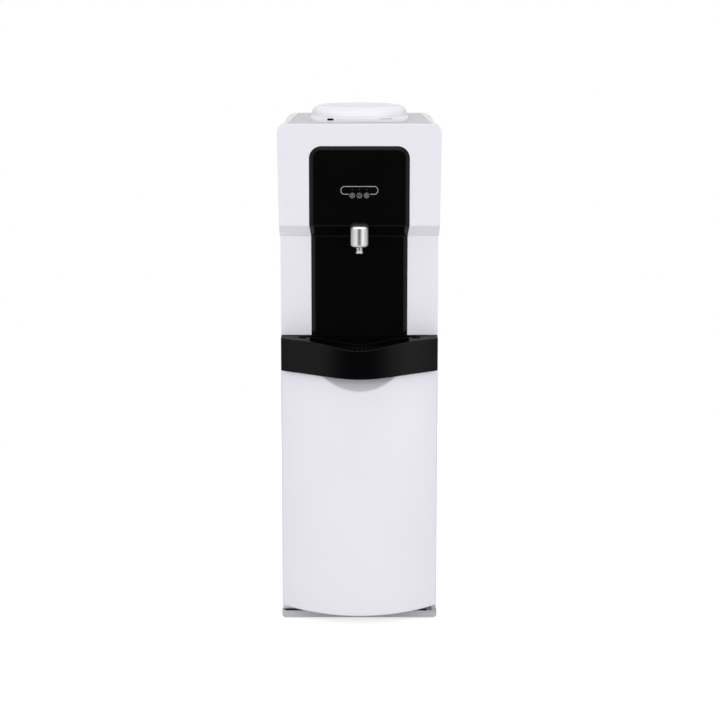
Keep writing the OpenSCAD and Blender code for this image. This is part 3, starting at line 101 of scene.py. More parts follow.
def add(tree, kind, inputs={}, **settings):
    """Adds a node to a tree. An input that is a socket is linked, and so is a node, by its first
    output. Any other is set."""
    made = tree.nodes.new(kind)
    for key, value in settings.items():
        setattr(made, key, value)
    for key, value in inputs.items():
        if isinstance(value, bpy.types.Node):
            value = value.outputs[0]
        if isinstance(value, bpy.types.NodeSocket):
            tree.links.new(value, made.inputs[key])
        else:
            made.inputs[key].default_value = value
    return made


def sum_of(tree, operation, first, second=0.0, clamp=False):
    """One step of arithmetic in a node tree."""
    return add(tree, "ShaderNodeMath", {0: first, 1: second}, operation=operation, use_clamp=clamp)


def backdrop(tree, colour, strength):
    return add(tree, "ShaderNodeBackground", {"Color": colour, "Strength": strength})


def blend(tree, share, first, second):
    """Mixes two shaders. A share of 1 is all of the second."""
    return add(tree, "ShaderNodeMixShader", {0: share, 1: first, 2: second})


def empty_tree(owner):
    """The node tree of a world or a material, with nothing in it."""
    owner.use_nodes = True
    owner.node_tree.nodes.clear()
    return owner.node_tree


# What polished faces see, by bearing in degrees from the camera's side, with its left first: dark
# around the camera, then a window on each side, and a pale room behind
room_turn = [(-180, 0.7), (-145, 0.35), (-112, 0.3), (-90, 0.42), (-72, 0.5), (-54, 0.72),
             (-36, 0.74), (-27, 0.6), (-19, 0.22), (-11, 0.01), (11, 0.01), (18, 0.18), (27, 0.6),
             (38, 0.88), (50, 0.92), (60, 0.68), (72, 0.52), (90, 0.45), (112, 0.32), (145, 0.35),
             (180, 0.7)]
room_strength = 1.35
overhead_strength = 1.5
overhead_from, overhead_full = 0.2, 0.45
ambient = (0.97, 0.975, 1, 1)
ambient_strength = 0.66
white = (1, 1, 1, 1)

world = bpy.data.worlds.new("studio")
scene.world = world
sky = empty_tree(world)
way = add(sky, "ShaderNodeSeparateXYZ", {0: add(sky, "ShaderNodeTexCoord").outputs["Generated"]}).outputs
bearing = sum_of(sky, "ARCTAN2", way["X"], sum_of(sky, "MULTIPLY", way["Y"], -1.0))
turn = sum_of(sky, "ADD", sum_of(sky, "DIVIDE", bearing, 2 * pi), 0.5)
around = add(sky, "ShaderNodeValToRGB", {"Fac": turn})
stops = around.color_ramp.elements
while len(stops) < len(room_turn):
    stops.new(0.5)
for stop, (degrees_round, grey) in zip(stops, room_turn):
    stop.position = degrees_round / 360 + 0.5
    stop.color = (grey, grey, grey, 1)
high_up = add(sky, "ShaderNodeMapRange", {"Value": way["Z"], "From Min": overhead_from,
                                          "From Max": overhead_full}).outputs["Result"]
surround = blend(sky, high_up, backdrop(sky, around.outputs["Color"], room_strength),
                 backdrop(sky, white, overhead_strength))
rays = add(sky, "ShaderNodeLightPath").outputs
mirrored = sum_of(sky, "MAXIMUM", rays["Is Glossy Ray"], rays["Is Transmission Ray"])
lit = blend(sky, mirrored, backdrop(sky, ambient, ambient_strength), surround)
seen = blend(sky, rays["Is Camera Ray"], lit, backdrop(sky, white, 1.0))
add(sky, "ShaderNodeOutputWorld", {"Surface": seen})

# Each lamp is a square one, with its place, its size and its power
lamps = {
    "lamp_left": ((-2.3, -3.2, 1.3), 2.2, 42),
    "lamp_right": ((2.5, -3.0, 1.15), 2.0, 38),
    "lamp_top": ((0.2, -0.4, 3.6), 2.0, 10),
}
lamp_aim = Vector((0, 0, 0.6))
for name, (spot, size, power) in lamps.items():
    lamp_data = bpy.data.lights.new(name, "AREA")
    lamp_data.shape = "SQUARE"
    lamp_data.size = size
    lamp_data.energy = power
    lamp = placed(name, lamp_data)
    lamp.location = spot
    lamp.rotation_euler = (lamp_aim - Vector(spot)).to_track_quat("-Z", "Y").to_euler()
    lamp.visible_glossy = False

# The sheet is a pale disc that the camera sees lifted to white, with the shadow kept
sheet_grey = (0.78, 0.78, 0.78, 1)
sheet_lift = 0.62
sheet_r = 1.7
sheet_mesh = bpy.data.meshes.new("floor_sheet")
disc = bmesh.new()
bmesh.ops.create_circle(disc, cap_ends=True, segments=96, radius=sheet_r)
disc.to_mesh(sheet_mesh)
disc.free()
sheet = placed("floor_sheet", sheet_mesh)
sheet_paint = bpy.data.materials.new("floor_sheet")
tree = empty_tree(sheet_paint)
camera_ray = add(tree, "ShaderNodeLightPath").outputs["Is Camera Ray"]
matt = add(tree, "ShaderNodeBsdfDiffuse", {"Color": sheet_grey})
glow = add(tree, "ShaderNodeEmission", {
    "Color": white, "Strength": sum_of(tree, "MULTIPLY", camera_ray, sheet_lift)})
both = add(tree, "ShaderNodeAddShader", {0: matt, 1: glow})
add(tree, "ShaderNodeOutputMaterial", {"Surface": both})
sheet_mesh.materials.append(sheet_paint)


# Plinth and feet. The plinth is a grey moulded tray that the whole machine stands in, and the
# feet are four rubber pads pressed into its floor, set back so that they don't show in front.
def shader_group(name, inputs, outputs):
    """An empty shader node group with named inputs and outputs."""
    group = bpy.data.node_groups.new(name, "ShaderNodeTree")
    for socket, kind, value in inputs:
        made = group.interface.new_socket(socket, in_out="INPUT", socket_type="NodeSocket" + kind)
        made.default_value = value
    for socket, kind in outputs:
        group.interface.new_socket(socket, in_out="OUTPUT", socket_type="NodeSocket" + kind)
    return group


def noise(tree, size, detail=2.0, vector=None):
    """Noise whose grains are about that size, in metres, in the object's own space."""
    where = vector or add(tree, "ShaderNodeTexCoord").outputs["Object"]
    grains = add(tree, "ShaderNodeTexNoise", {
        "Vector": where, "Scale": sum_of(tree, "DIVIDE", 1.0, size), "Detail": detail})
    return grains.outputs["Fac"]


def spread(tree, value, low, high):
    """Stretches noise, which mostly lies from 0.25 to 0.75, to low..high without a hard stop."""
    return add(tree, "ShaderNodeMapRange", {"Value": value, "From Min": 0.25, "From Max": 0.75,
                                            "To Min": low, "To Max": high}, clamp=False).outputs["Result"]


# Skin of a moulding or a painted sheet: faint clouding, dust on what faces up, a roughness that
# drifts, and a fine texture for the bump
skin = shader_group("moulded_skin", [
    ("Colour", "Color", (0.8, 0.8, 0.8, 1)), ("Cloud", "Float", 0.02), ("Dust", "Float", 0.05),
    ("Roughness", "Float", 0.3), ("Drift", "Float", 0.06), ("Texture Size", "Float", 0.001)],
    [("Colour", "Color"), ("Roughness", "Float"), ("Height", "Float")])
given = add(skin, "NodeGroupInput").outputs
cloud_size, drift_size, speck_size = 0.12, 0.05, 0.006
dust_grey = (0.45, 0.44, 0.42, 1)
swing = sum_of(skin, "MULTIPLY", spread(skin, noise(skin, cloud_size), -1.0, 1.0), given["Cloud"])
clouded = add(skin, "ShaderNodeVectorMath", {
    0: given["Colour"], "Scale": sum_of(skin, "ADD", swing, 1.0)}, operation="SCALE")
facing = add(skin, "ShaderNodeSeparateXYZ", {0: add(skin, "ShaderNodeNewGeometry").outputs["Normal"]})
upwards = add(skin, "ShaderNodeMapRange", {
    "Value": facing.outputs["Z"], "From Min": 0.7, "From Max": 1.0}).outputs["Result"]
speck = spread(skin, noise(skin, speck_size, 5.0), 0.1, 1.0)
dusty = sum_of(skin, "MULTIPLY", sum_of(skin, "MULTIPLY", upwards, speck, True), given["Dust"])
dulled = add(skin, "ShaderNodeMix", {"Factor": dusty, 6: clouded, 7: dust_grey}, data_type="RGBA")
drifted = sum_of(skin, "MULTIPLY", spread(skin, noise(skin, drift_size), -1.0, 1.0), given["Drift"])
rough = sum_of(skin, "ADD", sum_of(skin, "ADD", given["Roughness"], drifted), dusty, True)
add(skin, "NodeGroupOutput", {"Colour": dulled.outputs[2], "Roughness": rough,
                              "Height": noise(skin, given["Texture Size"], 3.0)})


def finish(name, surface_of, metallic=0.0, coat=0.0, shine=0.5):
    """A material. surface_of fills its tree and gives colour, roughness, bump height and bump depth."""
    material = bpy.data.materials.new(name)
    tree = empty_tree(material)
    colour, roughness, height, depth = surface_of(tree)
    bump = add(tree, "ShaderNodeBump", {"Height": height, "Strength": 1.0, "Distance": depth})
    shader = add(tree, "ShaderNodeBsdfPrincipled", {
        "Base Color": colour, "Roughness": roughness, "Normal": bump.outputs["Normal"],
        "Metallic": metallic, "Coat Weight": coat, "Coat Roughness": 0.05, "Specular IOR Level": shine})
    add(tree, "ShaderNodeOutputMaterial", {"Surface": shader})
    return material


def skinned(name, colour, roughness, texture, depth, cloud=0.01, dust=0.05, drift=0.02, **more):
    """A moulded or painted finish. texture and depth are in millimetres."""
    def surface_of(tree):
        surface = add(tree, "ShaderNodeGroup", {
            "Colour": (*colour, 1), "Cloud": cloud, "Dust": dust, "Roughness": roughness,
            "Drift": drift, "Texture Size": texture * mm}, node_tree=skin).outputs
        return surface["Colour"], surface["Roughness"], surface["Height"], depth * mm
    return finish(name, surface_of, **more)


slot_of = {part["node"]: part.get("material_slot") for part in frame["record"]["subparts"]}


# Edges count as sharp from the first angle on. Copies of CAD solids are rounded from the second on.
sharp_from, round_from = radians(40), radians(28)


def mesh_of(work, name):
    """Turns finished mesh work into a smooth mesh with its faces outwards and its edges kept sharp."""
    bmesh.ops.remove_doubles(work, verts=work.verts, dist=1e-6)
    bmesh.ops.recalc_face_normals(work, faces=work.faces)
    mesh = bpy.data.meshes.new(name)
    work.to_mesh(mesh)
    work.free()
    mesh.shade_smooth()
    mesh.set_sharp_from_angle(angle=sharp_from)
    return mesh


def new_piece(name, shape, material, *nodes, beside=None, slot=None):
    """Links a mesh, or mesh work in hand, as a piece of the object. It stands for CAD nodes, or it
    rides beside one."""
    mesh = mesh_of(shape, name) if isinstance(shape, bmesh.types.BMesh) else shape
    piece = placed(name, mesh)
    mesh.materials.clear()
    mesh.materials.append(material)
    home = beside or nodes[0]
    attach(piece, cad[home]["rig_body"])
    if nodes:
        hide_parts(*nodes)
    return piece


def even_light(piece):
    """Levels the light on flat faces next to rounded edges."""
    evening = piece.modifiers.new("even_light", "WEIGHTED_NORMAL")
    evening.keep_sharp = True
    return piece


def welded(node):
    """A CAD solid's loose triangles as one closed mesh, with its flat faces joined up."""
    work = bmesh.new()
    made = [work.verts.new(v.co) for v in cad[node].data.vertices]
    for face in cad[node].data.polygons:
        work.faces.new([made[i] for i in face.vertices])
    bmesh.ops.remove_doubles(work, verts=work.verts, dist=2e-6)
    bmesh.ops.dissolve_degenerate(work, edges=work.edges, dist=1e-6)
    bmesh.ops.dissolve_limit(work, angle_limit=radians(0.8), verts=work.verts, edges=work.edges)
    return work


def rounded_copy(node, name, material, edge, edge_at=None, segments=2, refine=None):
    """A CAD solid with its sharp edges rounded over by edge millimetres, or by what edge_at gives for
    the middle of an edge. refine works on the mesh first."""
    work = welded(node)
    if refine:
        refine(work)
    weight = work.edges.layers.float.new("bevel_weight_edge")
    for line in work.edges:
        if len(line.link_faces) == 2 and line.calc_face_angle(0) > round_from:
            middle = (line.verts[0].co + line.verts[1].co) / 2
            line[weight] = edge_at(middle) if edge_at else edge
            line.smooth = line[weight] > 0
    widest = max(line[weight] for line in work.edges)
    for line in work.edges:
        line[weight] /= widest
    mesh = bpy.data.meshes.new(name)
    work.to_mesh(mesh)
    work.free()
    mesh.shade_smooth()
    piece = new_piece(name, mesh, material, node)
    rounding = piece.modifiers.new("rounded_edges", "BEVEL")
    rounding.width = widest * mm
    rounding.segments = segments
    rounding.limit_method = "WEIGHT"
    rounding.use_clamp_overlap = False
    rounding.miter_outer = "MITER_ARC"
    return even_light(piece)


plinth_grey = skinned("plinth_plastic", (0.5, 0.495, 0.51), 0.5, 0.7, 0.03, dust=0.1)
pad_rubber = skinned("pad_rubber", (0.03, 0.03, 0.03), 0.8, 0.5, 0.06, cloud=0.1)
rounded_copy("base_plinth", "plinth", plinth_grey, 0.8, segments=3)
rounded_copy("feet", "foot_pads", pad_rubber, 0.3)


# Steel body. Two folded side sheets with a white baked paint stand on the galvanised base plate
# and carry the deck, the tank shelf and the rear panel.
def metal(name, colour, roughness, along, length, streak=0.0006, depth=0.004):
    """Bare metal with the streaks of rolling or brushing, which run along one axis."""
    def surface_of(tree):
        place = add(tree, "ShaderNodeTexCoord").outputs["Object"]
        squeeze = [streak / length if axis == along else 1 for axis in "XYZ"]
        squeezed = add(tree, "ShaderNodeMapping", {"Vector": place, "Scale": squeeze}).outputs["Vector"]
        grain = noise(tree, streak, 4.0, squeezed)
        shade = add(tree, "ShaderNodeMix", {
            "Factor": noise(tree, 0.03, 3.0), 6: (*[c * 0.85 for c in colour], 1), 7: (*colour, 1)},
            data_type="RGBA").outputs[2]
        return shade, spread(tree, grain, roughness - 0.05, roughness + 0.05), grain, depth * mm
    return finish(name, surface_of, metallic=1.0)


def paint_nodes(material, *nodes):
    """Gives CAD solids that stay as they are their finish."""
    for node in nodes:
        cad[node].data.materials.clear()
        cad[node].data.materials.append(material)


baked_paint = skinned("baked_white_paint", (0.79, 0.785, 0.825), 0.32, 1.4, 0.006, dust=0.03, coat=0.3)
zinc = metal("zinc_plate", (0.62, 0.63, 0.66), 0.4, "Z", length=0.02)
for side in ("left", "right"):
    rounded_copy(f"side_panel_{side}", f"side_sheet_{side}", baked_paint, 0.3)
paint_nodes(zinc, "base_plate", "deck_plate", "tank_shelf")


# Storage bay. The liner is vacuum formed from white sheet, with a high step at the back over the
# compressor. A magnet catch is screwed to its left wall.
liner_white = skinned("liner_sheet", (0.8, 0.8, 0.82), 0.35, 1.0, 0.01)
rounded_copy("cabinet_liner", "bay_liner", liner_white, 1.6, segments=3)
rounded_copy("magnet_catch", "catch_block", liner_white, 0.6)


# Door. A bowed white shell, moulded in one, with a finger scoop in its top edge. A flat inner
# panel is clipped in behind, with a soft magnetic gasket, and it turns on two steel pins.
door_low, door_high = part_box("door_outer")
door_half = door_high.x
door_front, door_back = door_low.y, door_high.y
bow_r = 282.6 * mm
arch_r = 1254 * mm
edge_dip, edge_dip_w = 10 * mm, 85 * mm
scoop_r = 166 * mm
scoop_y, scoop_z = door_front - 100 * mm, 612 * mm
scoop_blend = 1.6 * mm
scoop_low = 470 * mm
fillet = 4.2 * mm
roll = 3.2 * mm
wall = 2.5 * mm
# Rows of faces on the skin: below the scoop, and from there to the top
plain_rows, scoop_rows = 14, 36


def bow_y(x, front, inset=0.0):
    """Where a bowed front whose middle is at front lies, drawn in by inset."""
    reach = bow_r - inset
    return front + bow_r - sqrt(reach * reach - x * x)


def dip(x, depth, breadth):
    """How far an edge sags at x, where it sags by depth in the middle."""
    return depth * exp(-(x / breadth) ** 2)


def arc(u, v, radius, first, last, steps):
    """Points on a round stretch about (u, v), from one bearing in degrees to another."""
    turns = [radians(first + (last - first) * k / steps) for k in range(steps + 1)]
    return [(u + radius * cos(a), v + radius * sin(a)) for a in turns]


def evenly(first, last, steps):
    return [first + (last - first) * k / steps for k in range(steps + 1)]


def bridge(work, here, there, closed=True):
    """Faces between two rows of points, round to their first points again if closed."""
    for k in range(len(here) if closed else len(here) - 1):
        after = (k + 1) % len(here)
        work.faces.new((here[k], here[after], there[after], there[k]))


door_top = door_high.z + dip(door_half, edge_dip, edge_dip_w)


def door_column(x, y, sink):
    """Points of the door's skin at one x, from the rear of its lower wall up and over to the rear
    of its upper wall. sink is how far the side walls' rounding draws those two walls in."""
    low = door_low.z + arch_r - sqrt(arch_r * arch_r - x * x) + sink
    high = door_top - dip(x, edge_dip, edge_dip_w) - sink

    def face(z):
        inside = scoop_r * scoop_r - x * x - (z - scoop_z) ** 2
        dish = scoop_y + sqrt(max(inside, 0))
        return (y + dish + sqrt((y - dish) ** 2 + scoop_blend * scoop_blend)) / 2

    heights = evenly(low + roll, scoop_low, plain_rows) + evenly(scoop_low, high - roll, scoop_rows)[1:]
    column = [(door_back, low)] + arc(face(low) + roll, low + roll, roll, -90, -180, 6)[:-1]
    column += [(face(z), z) for z in heights]
    column += [(face(z) + roll - out, z) for out, z in arc(0, high - roll, roll, 0, 90, 6)[1:]]
    column.append((door_back, high))
    return [Vector((x, min(py, door_back), pz)) for py, pz in column]


edge = door_half - fillet
lean = atan2(edge, sqrt(bow_r * bow_r - edge * edge))
bend = fillet / (1 - sin(lean))
corner = arc(edge - bend * sin(lean), bow_y(edge, door_front) + bend * cos(lean), bend,
             degrees(lean) - 90, 0, 8)[1:]
plan = [(x, bow_y(x, door_front)) for x in evenly(-edge, edge, 180)]
plan = [(-x, y) for x, y in reversed(corner)] + plan + corner
work = bmesh.new()
columns = []
for x, y in plan:
    past = max(0, abs(x) - (door_half - roll))
    column = door_column(x, y, roll - sqrt(max(0, roll * roll - past * past)))
    columns.append([work.verts.new(point) for point in column])
for left, right in zip(columns, columns[1:]):
    bridge(work, left, right, closed=False)
work.faces.new(columns[0])
work.faces.new(list(reversed(columns[-1])))

shell_white = skinned("white_moulding", (0.8, 0.788, 0.842), 0.22, 1.6, 0.004, dust=0.04)
door_shell = new_piece("door_shell", work, shell_white, "door_outer")
thickness = door_shell.modifiers.new("wall", "SOLIDIFY")
thickness.thickness = wall
thickness.offset = -1
thickness.use_even_offset = True

# Bosses for the two pins stand inside the shell's right end
pivot_of = {joint["name"]: Vector(joint["pos_m"]) for joint in frame["joints"] if joint["type"] == "hinge"}
pin_hole_r, boss_r = 2.6 * mm, 4.8 * mm
boss_spans = ((31.4 * mm, 49 * mm), (498 * mm, 512.6 * mm))


def lathe(work, centre, profile, axis="Z", steps=48):
    """Turns a profile of (radius, height) about an axis, Z or Y, through centre. A radius of 0 closes
    an end."""
    rings = []
    for radius, height in profile:
        ring = []
        for k in range(steps if radius > 1e-7 else 1):
            a = 2 * pi * k / steps
            u, v = radius * cos(a), radius * sin(a)
            local = (u, height, v) if axis == "Y" else (u, v, height)
            ring.append(work.verts.new(Vector(centre) + Vector(local)))
        rings.append(ring)
    for low, high in zip(rings, rings[1:]):
        for k in range(steps):
            corners = [low[k % len(low)], low[(k + 1) % len(low)],
                       high[(k + 1) % len(high)], high[k % len(high)]]
            corners = list(dict.fromkeys(corners))
            if len(corners) > 2:
                work.faces.new(corners)


work = bmesh.new()
for low, high in boss_spans:
    lathe(work, (*pivot_of["door_hinge"].xy, 0), [
        (pin_hole_r, low), (boss_r, low), (boss_r, high), (pin_hole_r, high), (pin_hole_r, low)])
new_piece("door_pin_bosses", work, shell_white, beside="door_outer")

gasket_grey = skinned("gasket_rubber", (0.3, 0.3, 0.31), 0.7, 0.6, 0.03)
rounded_copy("door_liner", "door_inner_panel", liner_white, 0.5)
rounded_copy("door_gasket", "door_seal", gasket_grey, 1.0, segments=3)
paint_nodes(zinc, "strike_plate", "hinge_brackets")


# Drip tray. A glossy black moulding with a bowed front closes the gap over the door. A loose
# black pan lies in its recess, with a slotted grating on it.
tray_low, tray_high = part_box("tray_housing")
tray_step = tray_high.x / 12
tray_wall = 3 * mm
rim_dip, rim_dip_w = 17.5 * mm, 70 * mm
skirt_z = 517.5 * mm
lip_back = -110 * mm
front_edge, other_edge = 2.0, 0.6
recess_insets = (4 * mm, 7 * mm)
strip_w, strips_each_way = 4.5 * mm, 34


def chord(curve, x):
    """The straight stretch of the CAD's outline that stands for a curve at x."""
    start = floor(x / tray_step) * tray_step
    share = (x - start) / tray_step
    return curve(start) * (1 - share) + curve(start + tray_step) * share


def rim_z(x):
    return tray_high.z - dip(x, rim_dip, rim_dip_w)


def rim_under(x):
    return rim_z(x) - tray_wall


def skirt_edge(x):
    return skirt_z - dip(x, edge_dip, edge_dip_w)


def lay_on_curves(work):
    """Cuts the tray into narrow strips and lays them on the true bow, rim and skirt."""
    for k in range(-strips_each_way, strips_each_way + 1):
        everything = work.verts[:] + work.edges[:] + work.faces[:]
        bmesh.ops.bisect_plane(work, geom=everything, dist=1e-6, plane_co=(k * strip_w, 0, 0),
                               plane_no=(1, 0, 0))
    for vert in work.verts:
        x, y, z = vert.co
        for inset in (0, tray_wall, *recess_insets):
            true_y = bow_y(x, tray_low.y, inset)
            if abs(y - true_y) < 0.05 * mm:
                vert.co.y = true_y
        for curve in (rim_z, rim_under, skirt_edge):
            if abs(z - chord(curve, x)) < 0.01 * mm and z < tray_high.z - 1e-6:
                vert.co.z = curve(x)


def tray_edge(middle):
    """The broad roll on the bowed front's edges, none at the back of its lip, and a small one elsewhere."""
    if abs(middle.y - lip_back) < 1 * mm:
        return 0.0
    on_front = abs(middle.y - bow_y(middle.x, tray_low.y)) < 0.2 * mm
    return front_edge if on_front else other_edge


tray_black = skinned("tray_moulding_black", (0.0017, 0.0016, 0.002), 0.17, 1.5, 0.002, cloud=0.1,
                     dust=0.004, shine=0.15)
tray_matt = skinned("pan_black", (0.003, 0.003, 0.0032), 0.4, 0.6, 0.02, cloud=0.1, dust=0.004, shine=0.2)
tray_grain = skinned("tray_top_grain", (0.0018, 0.0018, 0.002), 0.5, 0.5, 0.02, cloud=0.1, dust=0.004,
                     shine=0.1)
tray = rounded_copy("tray_housing", "tray_moulding", tray_black, other_edge, tray_edge, segments=3,
                    refine=lay_on_curves)

# Its two top strips have a fine grain
tray.data.materials.append(tray_grain)
for face in tray.data.polygons:
    if face.normal.z > 0.8 and face.center.z > rim_z(face.center.x) - 1 * mm:
        face.material_index = 1
rounded_copy("drip_tray", "drip_pan", tray_matt, 0.6)


def geometry_tree(name, inputs):
    """An empty Geometry Nodes tree with named inputs, and the sockets that they give inside it."""
    tree = bpy.data.node_groups.new(name, "GeometryNodeTree")
    for socket, kind in [("Geometry", "Geometry")] + inputs + [("Finish", "Material")]:
        tree.interface.new_socket(socket, in_out="INPUT", socket_type="NodeSocket" + kind)
    tree.interface.new_socket("Geometry", in_out="OUTPUT", socket_type="NodeSocketGeometry")
    return tree, add(tree, "NodeGroupInput").outputs


def close_tree(tree, geometry, given):
    """Ends a tree: real geometry with its finish on it."""
    real = add(tree, "GeometryNodeRealizeInstances", {0: geometry})
    dressed = add(tree, "GeometryNodeSetMaterial", {"Geometry": real, "Material": given["Finish"]})
    add(tree, "NodeGroupOutput", {0: dressed})


def vector(tree, x=0.0, y=0.0, z=0.0):
    return add(tree, "ShaderNodeCombineXYZ", {0: x, 1: y, 2: z})


def swept(tree, line, radius, sides):
    """A round bar along a line, closed at both ends."""
    ring = add(tree, "GeometryNodeCurvePrimitiveCircle", {"Resolution": sides, "Radius": radius})
    return add(tree, "GeometryNodeCurveToMesh", {0: line, 1: ring, "Fill Caps": True})


def take_in(work, mesh):
    """Moves a finished mesh into mesh work."""
    work.from_mesh(mesh)
    bpy.data.meshes.remove(mesh)
    return work


def settled(name, thing, *others):
    """Keeps what an object's modifiers make of it as a plain mesh, and removes the objects."""
    ready = thing.evaluated_get(bpy.context.evaluated_depsgraph_get())
    work = take_in(bmesh.new(), bpy.data.meshes.new_from_object(ready))
    for made in (thing, *others):
        bpy.data.objects.remove(made)
    return mesh_of(work, name)


def grown(name, tree, start, material, sizes):
    """Runs a Geometry Nodes tree on a start mesh or curve, and keeps the result as a plain mesh."""
    seed = placed(name + "_start", start)
    growing = seed.modifiers.new("growing", "NODES")
    growing.node_group = tree
    values = dict(sizes, Finish=material)
    for item in tree.interface.items_tree:
        if item.in_out == "INPUT" and item.name in values:
            growing[item.identifier] = values[item.name]
    return settled(name, seed)


# Bars of the grating: round-topped rods side by side, each as long as the bow leaves room for
bars, given = geometry_tree("grating_bars", [
    ("Bars", "Int"), ("Pitch", "Float"), ("Bar Radius", "Float"), ("Rear", "Float"),
    ("Bow Radius", "Float"), ("Bow Centre", "Float"), ("Level", "Float"), ("Flatness", "Float")])
count = sum_of(bars, "SUBTRACT", given["Bars"], 1.0)
first_x = sum_of(bars, "MULTIPLY", sum_of(bars, "MULTIPLY", count, given["Pitch"]), -0.5)
places = add(bars, "GeometryNodeMeshLine", {
    "Count": given["Bars"], "Offset": vector(bars, given["Pitch"]),
    "Start Location": vector(bars, first_x, given["Rear"], given["Level"])})
x_here = add(bars, "ShaderNodeSeparateXYZ", {0: add(bars, "GeometryNodeInputPosition")})
square = sum_of(bars, "MULTIPLY", x_here, x_here)
radius_square = sum_of(bars, "MULTIPLY", given["Bow Radius"], given["Bow Radius"])
reach = sum_of(bars, "SQRT", sum_of(bars, "SUBTRACT", radius_square, square))
length = sum_of(bars, "SUBTRACT", given["Rear"], sum_of(bars, "SUBTRACT", given["Bow Centre"], reach))
rod_line = add(bars, "GeometryNodeCurvePrimitiveLine", {"End": (0, -1, 0)})
row = add(bars, "GeometryNodeInstanceOnPoints", {
    "Points": places, "Instance": swept(bars, rod_line, given["Bar Radius"], 14),
    "Scale": vector(bars, 1.0, length, given["Flatness"])})
close_tree(bars, row, given)

grating_low, grating_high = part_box("drip_grille")
slot_w, slot_pitch, slots = 4.5 * mm, 9 * mm, 19
bar_r = (slot_pitch - slot_w) / 2
grating_rim, bar_lap = 7 * mm, 3 * mm
grate_half = (grating_high.z - grating_low.z) / 2
bar_mesh = grown("grating_bars", bars, bpy.data.meshes.new("none"), tray_matt, {
    "Bars": slots - 1, "Pitch": slot_pitch, "Bar Radius": bar_r, "Rear": grating_high.y - bar_lap,
    "Bow Radius": bow_r - grating_rim - 4 * mm, "Bow Centre": tray_low.y + bow_r,
    "Level": (grating_low.z + grating_high.z) / 2, "Flatness": grate_half / bar_r})

# The rim of the grating: a flat bowed frame around the bars
slot_end = slots * slot_pitch / 2 - bar_r
rear_rim, rim_gap, rim_soft = 5.4 * mm, 0.6 * mm, 0.6 * mm


def rim_loop(half, inset, rear):
    """A loop of points of (x, y): along the bow to the right, and back along the rear."""
    xs = evenly(-half, half, 48)
    return [(x, bow_y(x, tray_low.y, inset)) for x in xs] + [(x, rear) for x in reversed(xs)]


outline = rim_loop(grating_high.x, grating_rim + rim_gap, grating_high.y)
inline = rim_loop(slot_end, 2 * grating_rim, grating_high.y - rear_rim)
work = bmesh.new()
loops = [[work.verts.new((x, y, z)) for x, y in line] for line, z in (
    (outline, grating_high.z), (inline, grating_high.z), (inline, grating_low.z), (outline, grating_low.z))]
for here, there in zip(loops, loops[1:] + loops[:1]):
    bridge(work, here, there)
bmesh.ops.bevel(work, geom=[line for line in work.edges if line.calc_face_angle(0) > 1],
                offset=rim_soft, segments=2, affect="EDGES", profile=0.5)
new_piece("drip_grating", take_in(work, bar_mesh), tray_matt, "drip_grille")


# Middle casing and head. White mouldings: a flat plate behind the nozzle, and the head above it,
# which leans out over a sloping step and carries the hood back to the rear panel.
head_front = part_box("head_casing")[0].y
rounded_copy("mid_casing", "middle_front", shell_white, 1.0)
rounded_copy("head_casing", "head_moulding", shell_white, 0.7, segments=3,
             edge_at=lambda middle: 2.2 if middle.y < head_front + 0.5 * mm else 0.7)


# Top cover. A grey moulded lid lies in a rebate of the hood, around the bottle seat.
# Its grey, darker than the white mouldings, is painted shade on the top.
cover_shaded_grey = skinned("cover_moulding", (0.54, 0.525, 0.55), 0.38, 0.8, 0.01, dust=0.06)
rounded_copy("top_cover", "top_lid", cover_shaded_grey, 1.0, segments=3)


# Bottle seat. A white moulded collar with a round shoulder on a square foot. The bottle stands in
# its funnel, and the blue spike in its throat opens the bottle's cap.
def cut(mesh, cutter, name):
    """One mesh with another taken out of it."""
    blank, tool = placed(name, mesh), placed(name + "_tool", cutter)
    taking = blank.modifiers.new("cut", "BOOLEAN")
    taking.object = tool
    taking.operation = "DIFFERENCE"
    taking.solver = "EXACT"
    taking.use_self = True
    return settled(name, blank, tool)


def block(work, middle, size, turn=Matrix()):
    """A plain block, with its middle and its sizes along the axes in millimetres, and then turned."""
    place = Matrix.Translation(Vector(middle) * mm) @ Matrix.Diagonal((*(Vector(size) * mm), 1))
    bmesh.ops.create_cube(work, size=1, matrix=turn @ place)


# The seat's white is lighter than the other white mouldings: painted light for the top-lit collar.
seat_lit_white = skinned("seat_moulding", (0.86, 0.855, 0.885), 0.3, 1.2, 0.006, dust=0.03)
spike_blue = skinned("spike_plastic", (0.12, 0.32, 0.62), 0.25, 1.0, 0.004)
seat_low, seat_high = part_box("bottle_seat")
seat_y = (seat_low.y + seat_high.y) / 2
foot_low, foot_high, foot_corner, foot_round, foot_hole_r = 1001.5, 1008.5, 26, 1.5, 95

# The collar's section in millimetres, as (radius, height): its shoulder, then down the funnel and
# its throat to the flange that the tank's gasket grips, and back up inside the wall
shoulder_at, shoulder_r, hollow_r = (78, 1009.5), 18, 15
collar = ([(93, foot_low), (96, foot_low)] + arc(*shoulder_at, shoulder_r, 0, 90, 10)
          + [(76.5, 1027.3), (75, 1026.2), (73.6, 1024.6), (30, 983), (28.6, 981.2), (28, 979),
             (28, 954.5), (76, 954.5), (76, 957.5), (31, 957.5), (31, 979.5), (77, 1024.4)]
          + arc(*shoulder_at, hollow_r, 90, 0, 6)[1:] + [(93, foot_low)])
work = bmesh.new()
lathe(work, (0, seat_y, 0), [(radius * mm, height * mm) for radius, height in collar], steps=120)
collar_mesh = mesh_of(work, "collar")


def foot_outline(inset):
    """The foot's rounded square, drawn in by inset millimetres, with as many points as its hole."""
    half_x, half_y = seat_high.x - inset * mm, (seat_high.y - seat_low.y) / 2 - inset * mm
    radius = (foot_corner - inset) * mm
    line = []
    for turn, (right, back) in enumerate(((1, 1), (-1, 1), (-1, -1), (1, -1))):
        line += arc(right * (half_x - radius), seat_y + back * (half_y - radius), radius,
                    90 * turn, 90 * turn + 90, 12)
    return line


